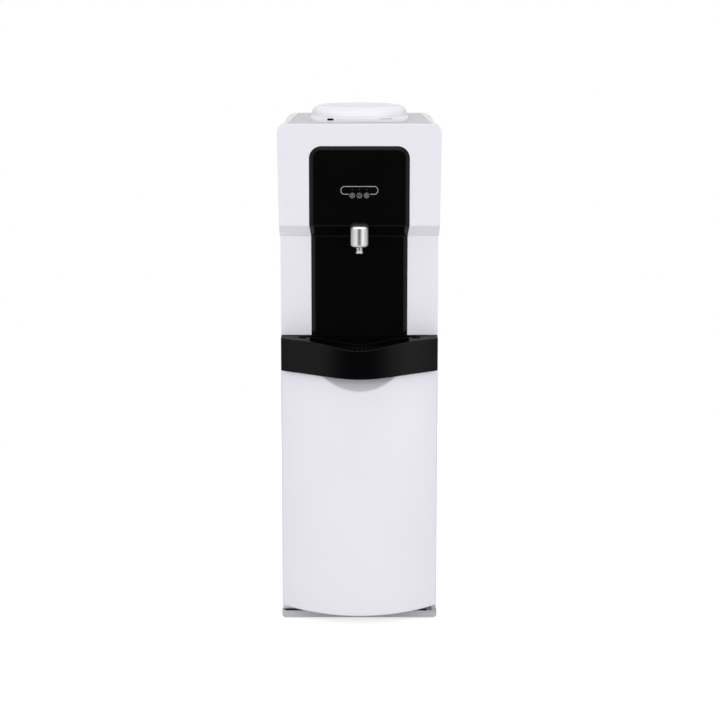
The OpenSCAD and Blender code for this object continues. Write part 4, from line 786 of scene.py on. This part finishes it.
levels = [(0, foot_low)] + [(foot_round - out, foot_high - foot_round + up)
                            for out, up in arc(0, 0, foot_round, 0, 90, 5)]
bearings = [atan2(y - seat_y, x) for x, y in foot_outline(0)]
hole_line = [(foot_hole_r * mm * cos(a), seat_y + foot_hole_r * mm * sin(a)) for a in bearings]
work = bmesh.new()
rings = [[work.verts.new((x, y, height * mm)) for x, y in line] for line, height in
         [(foot_outline(inset), height) for inset, height in levels]
         + [(hole_line, foot_high), (hole_line, foot_low)]]
for here, there in zip(rings, rings[1:] + rings[:1]):
    bridge(work, here, there)
foot_mesh = mesh_of(work, "foot")

# A deep latch slot and a thin parting groove in the foot's front edge, with painted shade inside:
# their inner faces are near black. Each is given in millimetres as (left, right, bottom, top, depth).
latch_cuts = ((-62.5, -50.5, 1004.2, 1008.2, 16), (40, 64, 1007, 1007.8, 3))
latch_shade_paint = skinned("latch_shadow", (0.01, 0.01, 0.01), 0.6, 0.6, 0.01)
seat_front = seat_low.y / mm
work = bmesh.new()
for x0, x1, z0, z1, deep in latch_cuts:
    block(work, ((x0 + x1) / 2, seat_front, (z0 + z1) / 2), (x1 - x0, 2 * deep, z1 - z0))
foot_mesh = cut(foot_mesh, mesh_of(work, "latch_slot"), "foot_cut")
work = take_in(take_in(bmesh.new(), collar_mesh), foot_mesh)
seat = even_light(new_piece("seat_collar", work, seat_lit_white, "bottle_seat"))
# The inner faces of both cuts take the near-black painted shade.
seat.data.materials.append(latch_shade_paint)
slack = 0.1
for face in seat.data.polygons:
    x, y, z = face.center / mm
    for x0, x1, z0, z1, deep in latch_cuts:
        if (x0 - slack < x < x1 + slack and z0 - slack < z < z1 + slack
                and 2 * slack < y - seat_front < deep + slack):
            face.material_index = 1
rounded_copy("water_spike", "bottle_spike", spike_blue, 0.4)


# Black front. One glossy moulding, 2.5 mm proud, with broad rolled edges. It runs from the head
# over the step and down to the tray, and has holes for the buttons and for the nozzle's neck.
front_low, front_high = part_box("front_panel")
panel_t = 2.5 * mm
# How the edge rises: (inwards, outwards) in millimetres, a tight round and then a broad flat bevel
panel_edge = [(0, 0), (0.05, 0.3), (0.3, 0.55), (0.7, 0.7), (2.9, 1.25), (5.2, 1.84), (7.4, 2.38),
              (8.2, 2.48), (9, 2.5)]
panel_black = skinned("panel_gloss", (0.0022, 0.0022, 0.0024), 0.1, 2.0, 0.0015, cloud=0.1, dust=0.004,
                      drift=0.015, shine=0.22)
panel_corner = 24 * mm
low_half = 94.75 * mm
chin_z, step_z = 803.5 * mm, 780.5 * mm
mid_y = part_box("mid_casing")[0].y
bend_soft, bend_reach = 0.8 * mm, 4 * mm


def soft_max(value, limit):
    """The greater of two values, with a soft change from one to the other."""
    return (value + limit + sqrt((value - limit) ** 2 + bend_soft * bend_soft)) / 2


def casing_y(z):
    """The white casings' face behind the black front, with the step's two bends softened."""
    sloping = head_front + (chin_z - z) * (mid_y - head_front) / (chin_z - step_z)
    return -soft_max(-soft_max(sloping, head_front), -mid_y)


def panel_half(inset):
    """The right half of the black front's outline, drawn in by inset, from the tray to the top."""
    corner_z = front_high.z - panel_corner
    bends_low, bends_high = step_z - bend_reach, chin_z + bend_reach
    zs = evenly(front_low.z, bends_low, 8)[:-1] + evenly(bends_low, bends_high, 40)
    zs += evenly(bends_high, corner_z, 6)[1:]
    points = []
    for z in zs:
        share = min(1, max(0, (z - step_z) / (chin_z - step_z)))
        points.append((low_half + (front_high.x - low_half) * share - inset, z))
    return points + arc(front_high.x - panel_corner, corner_z, panel_corner - inset, 0, 90, 18)[1:]


work = bmesh.new()
rings = []
for inset, lift in panel_edge:
    half = [(x, casing_y(z) - lift * mm, z) for x, z in panel_half(inset * mm)]
    rings.append([work.verts.new(point) for point in half + [(-x, y, z) for x, y, z in reversed(half)]])
for here, there in zip(rings, rings[1:]):
    bridge(work, here, there, closed=False)
middle = len(rings[0]) // 2
for ring in (rings[-1], rings[0]):
    bridge(work, ring[:middle], ring[:middle - 1:-1], closed=False)
work.faces.new([ring[-1] for ring in rings] + [ring[0] for ring in reversed(rings)])
panel_mesh = mesh_of(work, "front_panel_work")

button_z = 863 * mm
button_pitch = 13.9 * mm
hole_r = 5.8 * mm
neck_z, neck_hole_r = 772.5 * mm, 6.3 * mm
drill = 6 * mm
work = bmesh.new()
for x, y, z, radius in [(k * button_pitch, head_front, button_z, hole_r) for k in (-1, 0, 1)] + [
        (0, mid_y, neck_z, neck_hole_r)]:
    lathe(work, (x, y, z), [(0, -drill), (radius, -drill), (radius, drill), (0, drill)], "Y")
panel_mesh = cut(panel_mesh, mesh_of(work, "panel_holes"), "front_fascia")
even_light(new_piece("front_fascia", panel_mesh, panel_black, "front_panel"))

# The outline is printed on the panel in light grey
print_grey = skinned("printed_grey", (0.36, 0.36, 0.37), 0.5, 0.5, 0.002)
paint_nodes(print_grey, "button_outline")


# Buttons. Three round black caps with a printed ring and sign: a snowflake for cold water, a drop
# for plain and rising heat for hot. They press 1.5 mm in, on the board's switches.
cap_black = skinned("button_cap", (0.004, 0.004, 0.0045), 0.2, 0.8, 0.002, shine=0.3)
cap_r = 5.65 * mm
cap_edge = 0.7 * mm
cap_front = head_front - panel_t - 1 * mm
cap_back = head_front + 0.3 * mm
flange_r, flange_t = 6.45 * mm, 1.2 * mm
stem_r = 2.5 * mm
stem_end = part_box("button_cold")[1].y
ink = 0.06 * mm
ring_r = 4.7 * mm


def print_strip(work, points, breadth, face_y, out=-1, closed=False):
    """A printed line through points of (x, z) on a face that looks along out times Y."""
    n = len(points)
    rails = []
    for k in range(n):
        before = Vector(points[(k - 1) % n if closed or k else 0])
        after = Vector(points[(k + 1) % n if closed or k < n - 1 else k])
        along = (after - before).normalized()
        side = Vector((-along.y, along.x)) * breadth / 2
        here = Vector(points[k])
        rails.append([work.verts.new((p.x, y, p.y)) for y in (face_y + out * ink, face_y)
                      for p in (here - side, here + side)])
    for k in range(n if closed else n - 1):
        a, b = rails[k], rails[(k + 1) % n]
        for i, j in ((0, 1), (1, 3), (3, 2), (2, 0)):
            work.faces.new((a[i], a[j], b[j], b[i]))
    if not closed:
        for rail in (rails[0], rails[-1]):
            work.faces.new((rail[0], rail[1], rail[3], rail[2]))


def snowflake(work, x, z):
    """Three crossed bars, with a pair of branches near each end."""
    arm, branch_at, branch, branch_turn = 3.3 * mm, 1.9 * mm, 1.2 * mm, radians(50)
    middle = Vector((x, z))
    for k in range(6):
        a = pi / 2 + k * pi / 3
        way = Vector((cos(a), sin(a)))
        if k < 3:
            print_strip(work, [middle - way * arm, middle + way * arm], 0.45 * mm, cap_front)
        for b in (a - branch_turn, a + branch_turn):
            start = middle + way * branch_at
            print_strip(work, [start, start + Vector((cos(b), sin(b))) * branch], 0.4 * mm, cap_front)


def drop(work, x, z):
    """A closed line that is round below and comes to a point above."""
    half_w, half_h, taper, lower = 2.7 * mm, 3.2 * mm, 1.6, 0.1 * mm
    bearings = [2 * pi * k / 28 for k in range(28)]
    shape = [(x + half_w * sin(a) * sin(a / 2) ** taper, z + half_h * cos(a) - lower) for a in bearings]
    print_strip(work, shape, 0.5 * mm, cap_front, closed=True)


def heat(work, x, z):
    """Three upright waves, the middle one taller."""
    sway, steps = 0.55, 12
    for shift, tall in ((-1.7, 2.3), (0, 3.1), (1.7, 2.3)):
        wave = [(x + (shift + sway * sin(2 * pi * k / steps)) * mm, z + tall * (2 * k / steps - 1) * mm)
                for k in range(steps + 1)]
        print_strip(work, wave, 0.5 * mm, cap_front)


cap_rim = arc(cap_r - cap_edge, cap_front + cap_edge, cap_edge, -90, 0, 5)
for place, water, sign in ((-1, "cold", snowflake), (0, "ambient", drop), (1, "hot", heat)):
    button_x = place * button_pitch
    work = bmesh.new()
    lathe(work, (button_x, 0, button_z), [(0, cap_front)] + cap_rim + [
        (cap_r, cap_back), (flange_r, cap_back), (flange_r, cap_back + flange_t),
        (stem_r, cap_back + flange_t), (stem_r, stem_end), (0, stem_end)], "Y")
    even_light(new_piece(f"{water}_cap", work, cap_black, f"button_{water}"))
    work = bmesh.new()
    print_strip(work, arc(button_x, button_z, ring_r, 0, 360, 40)[:-1], 0.55 * mm, cap_front, closed=True)
    sign(work, button_x, button_z)
    new_piece(f"{water}_sign", work, print_grey, beside=f"button_{water}", slot=slot_of["button_outline"])

# A tiny smoked lens over each button hides its lamp
lens_smoke = skinned("smoked_lens", (0.03, 0.03, 0.032), 0.15, 0.5, 0.001)
lens_rise = 11.3 * mm
lens = [(0, -2.75 * mm), (0.6 * mm, -2.7 * mm), (0.9 * mm, -2.5 * mm), (0.9 * mm, 0), (0, 0)]
work = bmesh.new()
for k in (-1, 0, 1):
    lathe(work, (k * button_pitch, head_front, button_z + lens_rise), lens, "Y", 24)
new_piece("lamp_lenses", work, lens_smoke, beside="front_panel")


# Nozzle. A bright turned sleeve with rounded ends on a neck through the front, and a small collar
# and flared tip screwed in under it.
chrome = metal("polished_steel", (0.9, 0.9, 0.91), 0.33, "X", streak=0.0003, length=0.02, depth=0.0006)
tip_steel = metal("turned_steel", (0.6, 0.6, 0.62), 0.3, "X", streak=0.0003, length=0.01, depth=0.001)
sleeve_low, sleeve_high = 764.5 * mm, 806.5 * mm
sleeve_r, sleeve_round = 17.5 * mm, 6 * mm
nozzle_y = -151 * mm
neck_r, neck_lap = 6 * mm, 4 * mm
neck_front, neck_end = nozzle_y + neck_lap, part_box("nozzle_body")[1].y
work = bmesh.new()
lathe(work, (0, nozzle_y, 0), [(0, sleeve_low)]
      + arc(sleeve_r - sleeve_round, sleeve_low + sleeve_round, sleeve_round, -90, 0, 10)
      + arc(sleeve_r - sleeve_round, sleeve_high - sleeve_round, sleeve_round, 0, 90, 10)
      + [(0, sleeve_high)], steps=96)
lathe(work, (0, 0, neck_z), [(0, neck_front), (neck_r, neck_front), (neck_r, neck_end), (0, neck_end)], "Y")
new_piece("nozzle_sleeve", work, chrome, "nozzle_body")

# The tip's section in millimetres, as (radius, height over its lower end)
tip_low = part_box("nozzle_tip")[0].z
tip_profile = [(4, 0), (6.9, 0), (7.4, 0.4), (7.4, 1.2), (6.6, 4.2), (5.9, 5.6), (5.9, 6.4), (6.3, 6.8),
               (6.3, 11.9), (5.9, 12.5), (4, 12.5), (4, 0)]
work = bmesh.new()
lathe(work, (0, nozzle_y, tip_low), [(radius * mm, height * mm) for radius, height in tip_profile])
even_light(new_piece("nozzle_spout", work, tip_steel, "nozzle_tip"))


# Back. The rear panel is a white painted sheet with cooling slots, held by screws. It carries two
# rocker switches in black frames, the drain's outlet with its cap, and the mains lead's gland.
switch_black = skinned("switch_plastic", (0.015, 0.015, 0.016), 0.35, 0.6, 0.01)
outlet_grey = skinned("outlet_plastic", (0.5, 0.5, 0.5), 0.4, 0.8, 0.008)
cap_rubber = skinned("drain_rubber", (0.05, 0.05, 0.052), 0.6, 0.8, 0.02)
paint_nodes(baked_paint, "rear_panel")
rounded_copy("switch_housings", "switch_frames", switch_black, 0.4)
rounded_copy("cord_gland", "lead_gland", switch_black, 0.4)
rounded_copy("drain_outlet", "drain_spout", outlet_grey, 0.4)
rounded_copy("drain_cap", "drain_stopper", cap_rubber, 0.3)

# Each key is marked with a bar at its upper half and a ring at its lower half. At rest it is tilted
# on its pivot, with the lower half out.
mark_white = skinned("key_marks", (0.8, 0.8, 0.8), 0.5, 0.5, 0.002)
key_tilt, key_face = radians(8), 5.45 * mm
for water, colour in (("cold", (0.02, 0.3, 0.06)), ("hot", (0.5, 0.02, 0.02))):
    key_paint = skinned(f"{water}_key", colour, 0.25, 0.8, 0.004)
    rounded_copy(f"rocker_{water}", f"{water}_key", key_paint, 0.4)
    work = bmesh.new()
    print_strip(work, [(0, 3 * mm), (0, 5.6 * mm)], 0.6 * mm, key_face, 1)
    print_strip(work, arc(0, -4.2 * mm, 1.3 * mm, 0, 360, 24)[:-1], 0.5 * mm, key_face, 1, True)
    tilt = Matrix.Translation(pivot_of[f"{water}_switch"]) @ Matrix.Rotation(key_tilt, 4, "X")
    bmesh.ops.transform(work, matrix=tilt, verts=work.verts)
    new_piece(f"{water}_key_marks", work, mark_white, beside=f"rocker_{water}")

# Screws: a domed head with a cross in it, set on each place with a turn of its own
screws, given = geometry_tree("sheet_screws", [("Screw", "Object"), ("Turn Seed", "Int")])
shape = add(screws, "GeometryNodeObjectInfo", {"Object": given["Screw"]}).outputs["Geometry"]
spin = add(screws, "FunctionNodeRandomValue", {
    2: 0.0, 3: pi, "Seed": given["Turn Seed"]}, data_type="FLOAT").outputs[1]
row = add(screws, "GeometryNodeInstanceOnPoints", {
    "Points": given["Geometry"], "Instance": shape, "Rotation": vector(screws, y=spin)})
close_tree(screws, row, given)

screw_steel = metal("screw_zinc", (0.7, 0.7, 0.72), 0.3, "Z", length=0.002)
screw_x, screw_face = 145 * mm, 168.8 * mm
screw_levels = [243.5 * mm, 475 * mm, 696.5 * mm, 910.5 * mm]
head_r, head_h, head_lip, shank_r, shank = 4 * mm, 2.2 * mm, 0.8 * mm, 1.9 * mm, 5.8 * mm
dome = [(out, head_lip + up * (head_h - head_lip) / head_r) for out, up in arc(0, 0, head_r, 0, 90, 6)[:-1]]
work = bmesh.new()
lathe(work, (0, 0, 0), [(0, -shank), (shank_r, -shank), (shank_r, 0), (head_r, 0)] + dome + [(0, head_h)],
      "Y", 32)
screw_mesh = mesh_of(work, "screw")
work = bmesh.new()
for turned in (0, pi / 2):
    block(work, (0, head_h / mm, 0), (5, 2, 1), Matrix.Rotation(turned, 4, "Y"))
screw = placed("one_screw", cut(screw_mesh, mesh_of(work, "cross"), "one_screw"))
spots = bpy.data.meshes.new("screw_spots")
spots.from_pydata([(s * screw_x, screw_face, z) for s in (-1, 1) for z in screw_levels], [], [])
screw_row = grown("sheet_screws", screws, spots, screw_steel, {"Screw": screw, "Turn Seed": 7})
bpy.data.objects.remove(screw)
new_piece("sheet_screws", screw_row, screw_steel, "rear_screws")


# Condenser. One long steel tube in a black enamel, bent to and fro, with straight wires welded
# across it on both sides. Four clips hold it a little off the rear panel.
piping, given = geometry_tree("piping", [("Radius", "Float"), ("Sides", "Int")])
close_tree(piping, swept(piping, given["Geometry"], given["Radius"], given["Sides"]), given)


def route_curve(name, *routes):
    """A curve through the points of each route, which are in millimetres."""
    curve = bpy.data.curves.new(name, "CURVE")
    curve.dimensions = "3D"
    for route in routes:
        line = curve.splines.new("POLY")
        line.points.add(len(route) - 1)
        for point, place in zip(line.points, route):
            point.co = (*(value * mm for value in place), 1)
    return curve


condenser_black = skinned("condenser_enamel", (0.012, 0.012, 0.013), 0.35, 0.8, 0.01, dust=0.12)
passes, half_run, run_y = 14, 118, 174.8
lowest, rise = 307.5, 583 / 13
highest = lowest + (passes - 1) * rise
entry_r, entry_low = 16, 267.5
path = [(half_run + entry_r, entry_low)] + arc(half_run, highest - entry_r, entry_r, 0, 90, 6)
for k in range(passes):
    z = highest - k * rise
    side = 1 if k % 2 == 0 else -1
    path += [(side * half_run, z), (-side * half_run, z)]
    if k < passes - 1:
        path += [(-side * x, low) for x, low in arc(half_run, z - rise / 2, rise / 2, 90, -90, 12)[1:-1]]
route = route_curve("condenser_route", [(x, run_y, z) for x, z in path])
tube_mesh = grown("condenser_pipe", piping, route, condenser_black, {"Radius": 2.5 * mm, "Sides": 14})
new_piece("condenser_pipe", tube_mesh, condenser_black, "condenser_tube")

# Two rows of upright wires, one on each side of the tube
fence, given = geometry_tree("wire_rows", [
    ("Wires", "Int"), ("Pitch", "Float"), ("Height", "Float"), ("Wire Radius", "Float"),
    ("First", "Vector"), ("Rows Apart", "Float")])
front_row = add(fence, "GeometryNodeMeshLine", {
    "Count": given["Wires"], "Start Location": given["First"],
    "Offset": vector(fence, given["Pitch"])})
rear_row = add(fence, "GeometryNodeTransform", {
    "Geometry": front_row, "Translation": vector(fence, y=given["Rows Apart"])})
rows = add(fence, "GeometryNodeJoinGeometry")
for row in (front_row, rear_row):
    fence.links.new(row.outputs[0], rows.inputs[0])
wire_line = add(fence, "GeometryNodeCurvePrimitiveLine", {"End": vector(fence, z=given["Height"])})
wire = swept(fence, wire_line, given["Wire Radius"], 10)
fenced = add(fence, "GeometryNodeInstanceOnPoints", {"Points": rows, "Instance": wire})
close_tree(fence, fenced, given)

wires, half_row, wire_low, wire_h, wire_r = 22, 110 * mm, 297.5 * mm, 603 * mm, 0.8 * mm
front_wires_y, rows_apart = 171.4 * mm, 6.8 * mm
wire_mesh = grown("condenser_fence", fence, bpy.data.meshes.new("none"), condenser_black, {
    "Wires": wires, "Pitch": 2 * half_row / (wires - 1), "Height": wire_h, "Wire Radius": wire_r,
    "First": (-half_row, front_wires_y, wire_low), "Rows Apart": rows_apart})
clip_x, clip_y, clip_levels, clip_size = 115, 170.5, (327.5, 870.5), (6, 3.4, 8)
work = bmesh.new()
for x in (-clip_x, clip_x):
    for z in clip_levels:
        block(work, (x, clip_y, z), clip_size)
bmesh.ops.bevel(work, geom=work.edges[:], offset=0.5 * mm, segments=2, affect="EDGES", profile=0.5)
new_piece("condenser_fence", take_in(work, wire_mesh), condenser_black, "condenser_wires")


# Compressor. A black enamelled steel pot on rubber grommets, with its relay box. Copper lines run
# from it to the condenser, through the filter dryer and up to the coil on the cold tank.
def eased(route):
    """A smooth run through the points of a route."""
    steps = 8
    points = []
    for k in range(len(route) - 1):
        a, b, c, d = (Vector(route[min(max(k + j, 0), len(route) - 1)]) for j in (-1, 0, 1, 2))
        for step in range(steps):
            t = step / steps
            points.append(0.5 * (2 * b + (c - a) * t + (2 * a - 5 * b + 4 * c - d) * t * t
                                 + (3 * b - a - 3 * c + d) * t ** 3))
    return points + [Vector(route[-1])]


pot_enamel = skinned("pot_enamel", (0.01, 0.01, 0.011), 0.25, 2.0, 0.01, dust=0.15, coat=0.4)
copper = metal("copper_tube", (0.72, 0.38, 0.25), 0.3, "Z", length=0.01)
rounded_copy("compressor", "compressor_pot", pot_enamel, 0.8)
rounded_copy("relay_box", "relay_cover", switch_black, 0.8)
rounded_copy("compressor_grommets", "pot_grommets", pad_rubber, 0.8)
rounded_copy("filter_dryer", "dryer_can", copper, 0.3)
# The routes of the three copper lines, in millimetres
suction = [(7, 112.3, 761.9), (7, 112.3, 751.9), (-8, 126.3, 744.2), (-48, 155, 710.2), (-60, 158, 670.2),
           (-60, 158, 535), (-60, 158, 455), (-60, 158, 286), (-60, 158, 240), (-50, 148, 216),
           (-34, 103, 181.8), (-34, 97, 175.8), (-34, 97, 171.8), (-34, 97, 169.8)]
liquid = [(-77.8, 72.6, 761.9), (-77.8, 72.6, 751.9), (-85.8, 84.6, 725.9), (-96, 152, 690.2),
          (-100, 158, 660.2), (-100, 158, 535), (-100, 158, 455), (-100, 158, 286), (-100, 158, 230),
          (-103, 136, 219.8), (-110, 144, 204.8), (-110, 144, 199.8), (-110, 144, 197.8)]
discharge = [(34, 97, 169.8), (34, 97, 171.8), (34, 97, 177.8), (42, 109, 191.8), (80, 154, 203.5),
             (130, 172.8, 221.5), (134, 174.8, 241.5), (134, 174.8, 267.5)]
work = bmesh.new()
for line, radius in ((suction, 3), (liquid, 2.4), (discharge, 2.5)):
    take_in(work, grown("copper_line", piping, route_curve("line", eased(line)), copper,
                        {"Radius": radius * mm, "Sides": 16}))
new_piece("copper_lines", work, copper, "refrigerant_lines")


# Cold side. The steel tank hangs from the seat's gasket in poured foam, with the evaporator coil
# around it and a separator disc inside that keeps the ambient water over the cold.
steel = metal("tank_steel", (0.68, 0.68, 0.7), 0.22, "Z", length=0.02)
foam_cream = skinned("poured_foam", (0.62, 0.52, 0.33), 0.9, 4.0, 0.6, cloud=0.12)
disc_white = skinned("disc_plastic", (0.75, 0.77, 0.8), 0.3, 0.8, 0.01)
gasket_soft = skinned("silicone_gasket", (0.5, 0.5, 0.5), 0.6, 0.8, 0.01)
rounded_copy("cold_tank", "cold_pot", steel, 0.3)
rounded_copy("separator_disc", "separator", disc_white, 0.4)
rounded_copy("seat_gasket", "seat_seal", gasket_soft, 1.0, segments=3)
rounded_copy("tank_foam", "foam_block", foam_cream, 0.8)

# The coil's route in millimetres: up from the suction line, round the tank, and down to the liquid
# line with a short tail
coil_y, coil_r, coil_low, coil_rise, coil_turns, turn_steps = 33, 79.3, 797.5, 125 / 9, 9, 40
coil_back = coil_y + coil_r
coil_top = coil_low + coil_rise * coil_turns
coil = [(7, coil_back, z) for z in (762.2, 775.5, 785.5, coil_low - 7)] + [(5.5, coil_back, coil_low - 2.5)]
for k in range(turn_steps * coil_turns + 1):
    a = pi / 2 + 2 * pi * k / turn_steps
    coil.append((coil_r * cos(a), coil_y + coil_r * sin(a), coil_low + coil_rise * k / turn_steps))
for k in range(1, 5):
    a, reach = radians(90 + 15 * k), coil_r + 2 * k
    coil.append((reach * cos(a), coil_y + reach * sin(a), coil_top + 3 * sin(radians(45 * k))))
coil += [(-77.8, 72.6, z) for z in (coil_top - 6, coil_top - 30, 805.5, 762.2)]
coil_mesh = grown("tank_coil", piping, route_curve("coil", coil), copper, {"Radius": 3 * mm, "Sides": 12})
new_piece("tank_coil", coil_mesh, copper, "evaporator_coil")


# Hot side. A smaller steel tank in a wool jacket stands on the deck, with the heating element and
# the two thermostats on its lid.
wool_yellow = skinned("jacket_wool", (0.55, 0.38, 0.1), 0.95, 2.0, 1.0, cloud=0.2)
sheath_black = skinned("element_sheath", (0.05, 0.05, 0.05), 0.4, 0.6, 0.01)
rounded_copy("hot_tank", "hot_pot", steel, 0.6)
rounded_copy("hot_tank_stand", "hot_pot_stand", zinc, 0.4)
rounded_copy("heating_element", "element", sheath_black, 0.4)
rounded_copy("thermostats", "thermostat_buttons", switch_black, 0.3)
jacket_low, jacket_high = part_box("hot_tank_jacket")
jacket_r, jacket_in = 65.6 * mm, 52.3 * mm
jacket_y = (jacket_low.y + jacket_high.y) / 2
puff, puff_rows, edge_rows = 2.5 * mm, 30, 6
puffed = [(jacket_r - puff * (1 - sin(pi / 2 * min(k, puff_rows - k, edge_rows) / edge_rows)), z)
          for k, z in enumerate(evenly(jacket_low.z, jacket_high.z, puff_rows))]
work = bmesh.new()
lathe(work, (0, jacket_y, 0), [(jacket_in, jacket_low.z)] + puffed + [
    (jacket_in, jacket_high.z), (jacket_in, jacket_low.z)], steps=120)

# Its outer face is lumpy
lump_depth, lumps_per_metre = 0.9 * mm, 90
for vert in work.verts:
    out = Vector((vert.co.x, vert.co.y - jacket_y, 0))
    if out.length > jacket_in + 2 * mm:
        vert.co -= out.normalized() * (1 + hills.noise(vert.co * lumps_per_metre)) * lump_depth
new_piece("wool_jacket", work, wool_yellow, "hot_tank_jacket")


# Water ways. Silicone hoses join the tanks to three solenoid valves and to the drain, and one
# manifold takes all three waters to the nozzle's neck. The board sits behind the buttons.
hose_clear = skinned("silicone_hose", (0.6, 0.62, 0.65), 0.3, 1.0, 0.004)
valve_white = skinned("valve_body", (0.62, 0.62, 0.6), 0.4, 0.8, 0.01)
board_green = skinned("board_mask", (0.01, 0.12, 0.04), 0.3, 1.0, 0.01)
# The routes of the hoses, in millimetres
hoses = [
    [(45, -17, 763.9), (45, -17, 761.9), (45, -17, 755.9), (45, -25, 739.5), (45, -48.2, 737.5),
     (45, -60.2, 737.5), (45, -62.2, 737.5)],
    [(0, -32, 763.9), (0, -32, 761.9), (0, -32, 755.9), (0, -40, 739.5), (0, -54.2, 737.5),
     (0, -60.2, 737.5), (0, -62.2, 737.5)],
    [(-30, 40, 718.8), (-30, 40, 720.8), (-30, 40, 724.8), (-32, 31, 732.8), (-40, 0, 751.5),
     (-45, -32.2, 739.5), (-45, -50.2, 737.5), (-45, -60.2, 737.5), (-45, -62.2, 737.5)],
    [(0, 33, 763.9), (0, 33, 761.9), (0, 33, 757.9), (3, 40, 749.9), (17, 83, 731.8), (20, 90, 723.8),
     (20, 90, 720.8), (20, 90, 718.8)]]
drain = [(0, 138.3, 557.5), (2, 146, 557.5), (20, 156, 555.5), (46, 158, 545.5), (58, 158, 530.5),
         (60, 158, 511.5), (60, 158, 377.5), (60, 158, 317.5), (60, 158, 273.8)]
for name, node, routes in (("tank_hoses", "water_hoses", hoses), ("drain_pipe", "drain_hose", [drain])):
    route = route_curve(name, *[eased(route) for route in routes])
    hose_mesh = grown(name, piping, route, hose_clear, {"Radius": 5 * mm, "Sides": 16})
    new_piece(name, hose_mesh, hose_clear, node)
rounded_copy("solenoid_valves", "valve_bodies", valve_white, 0.6)
rounded_copy("outlet_manifold", "manifold", valve_white, 0.6)
paint_nodes(zinc, "valve_bracket")
rounded_copy("control_board", "switch_board", board_green, 0.2)
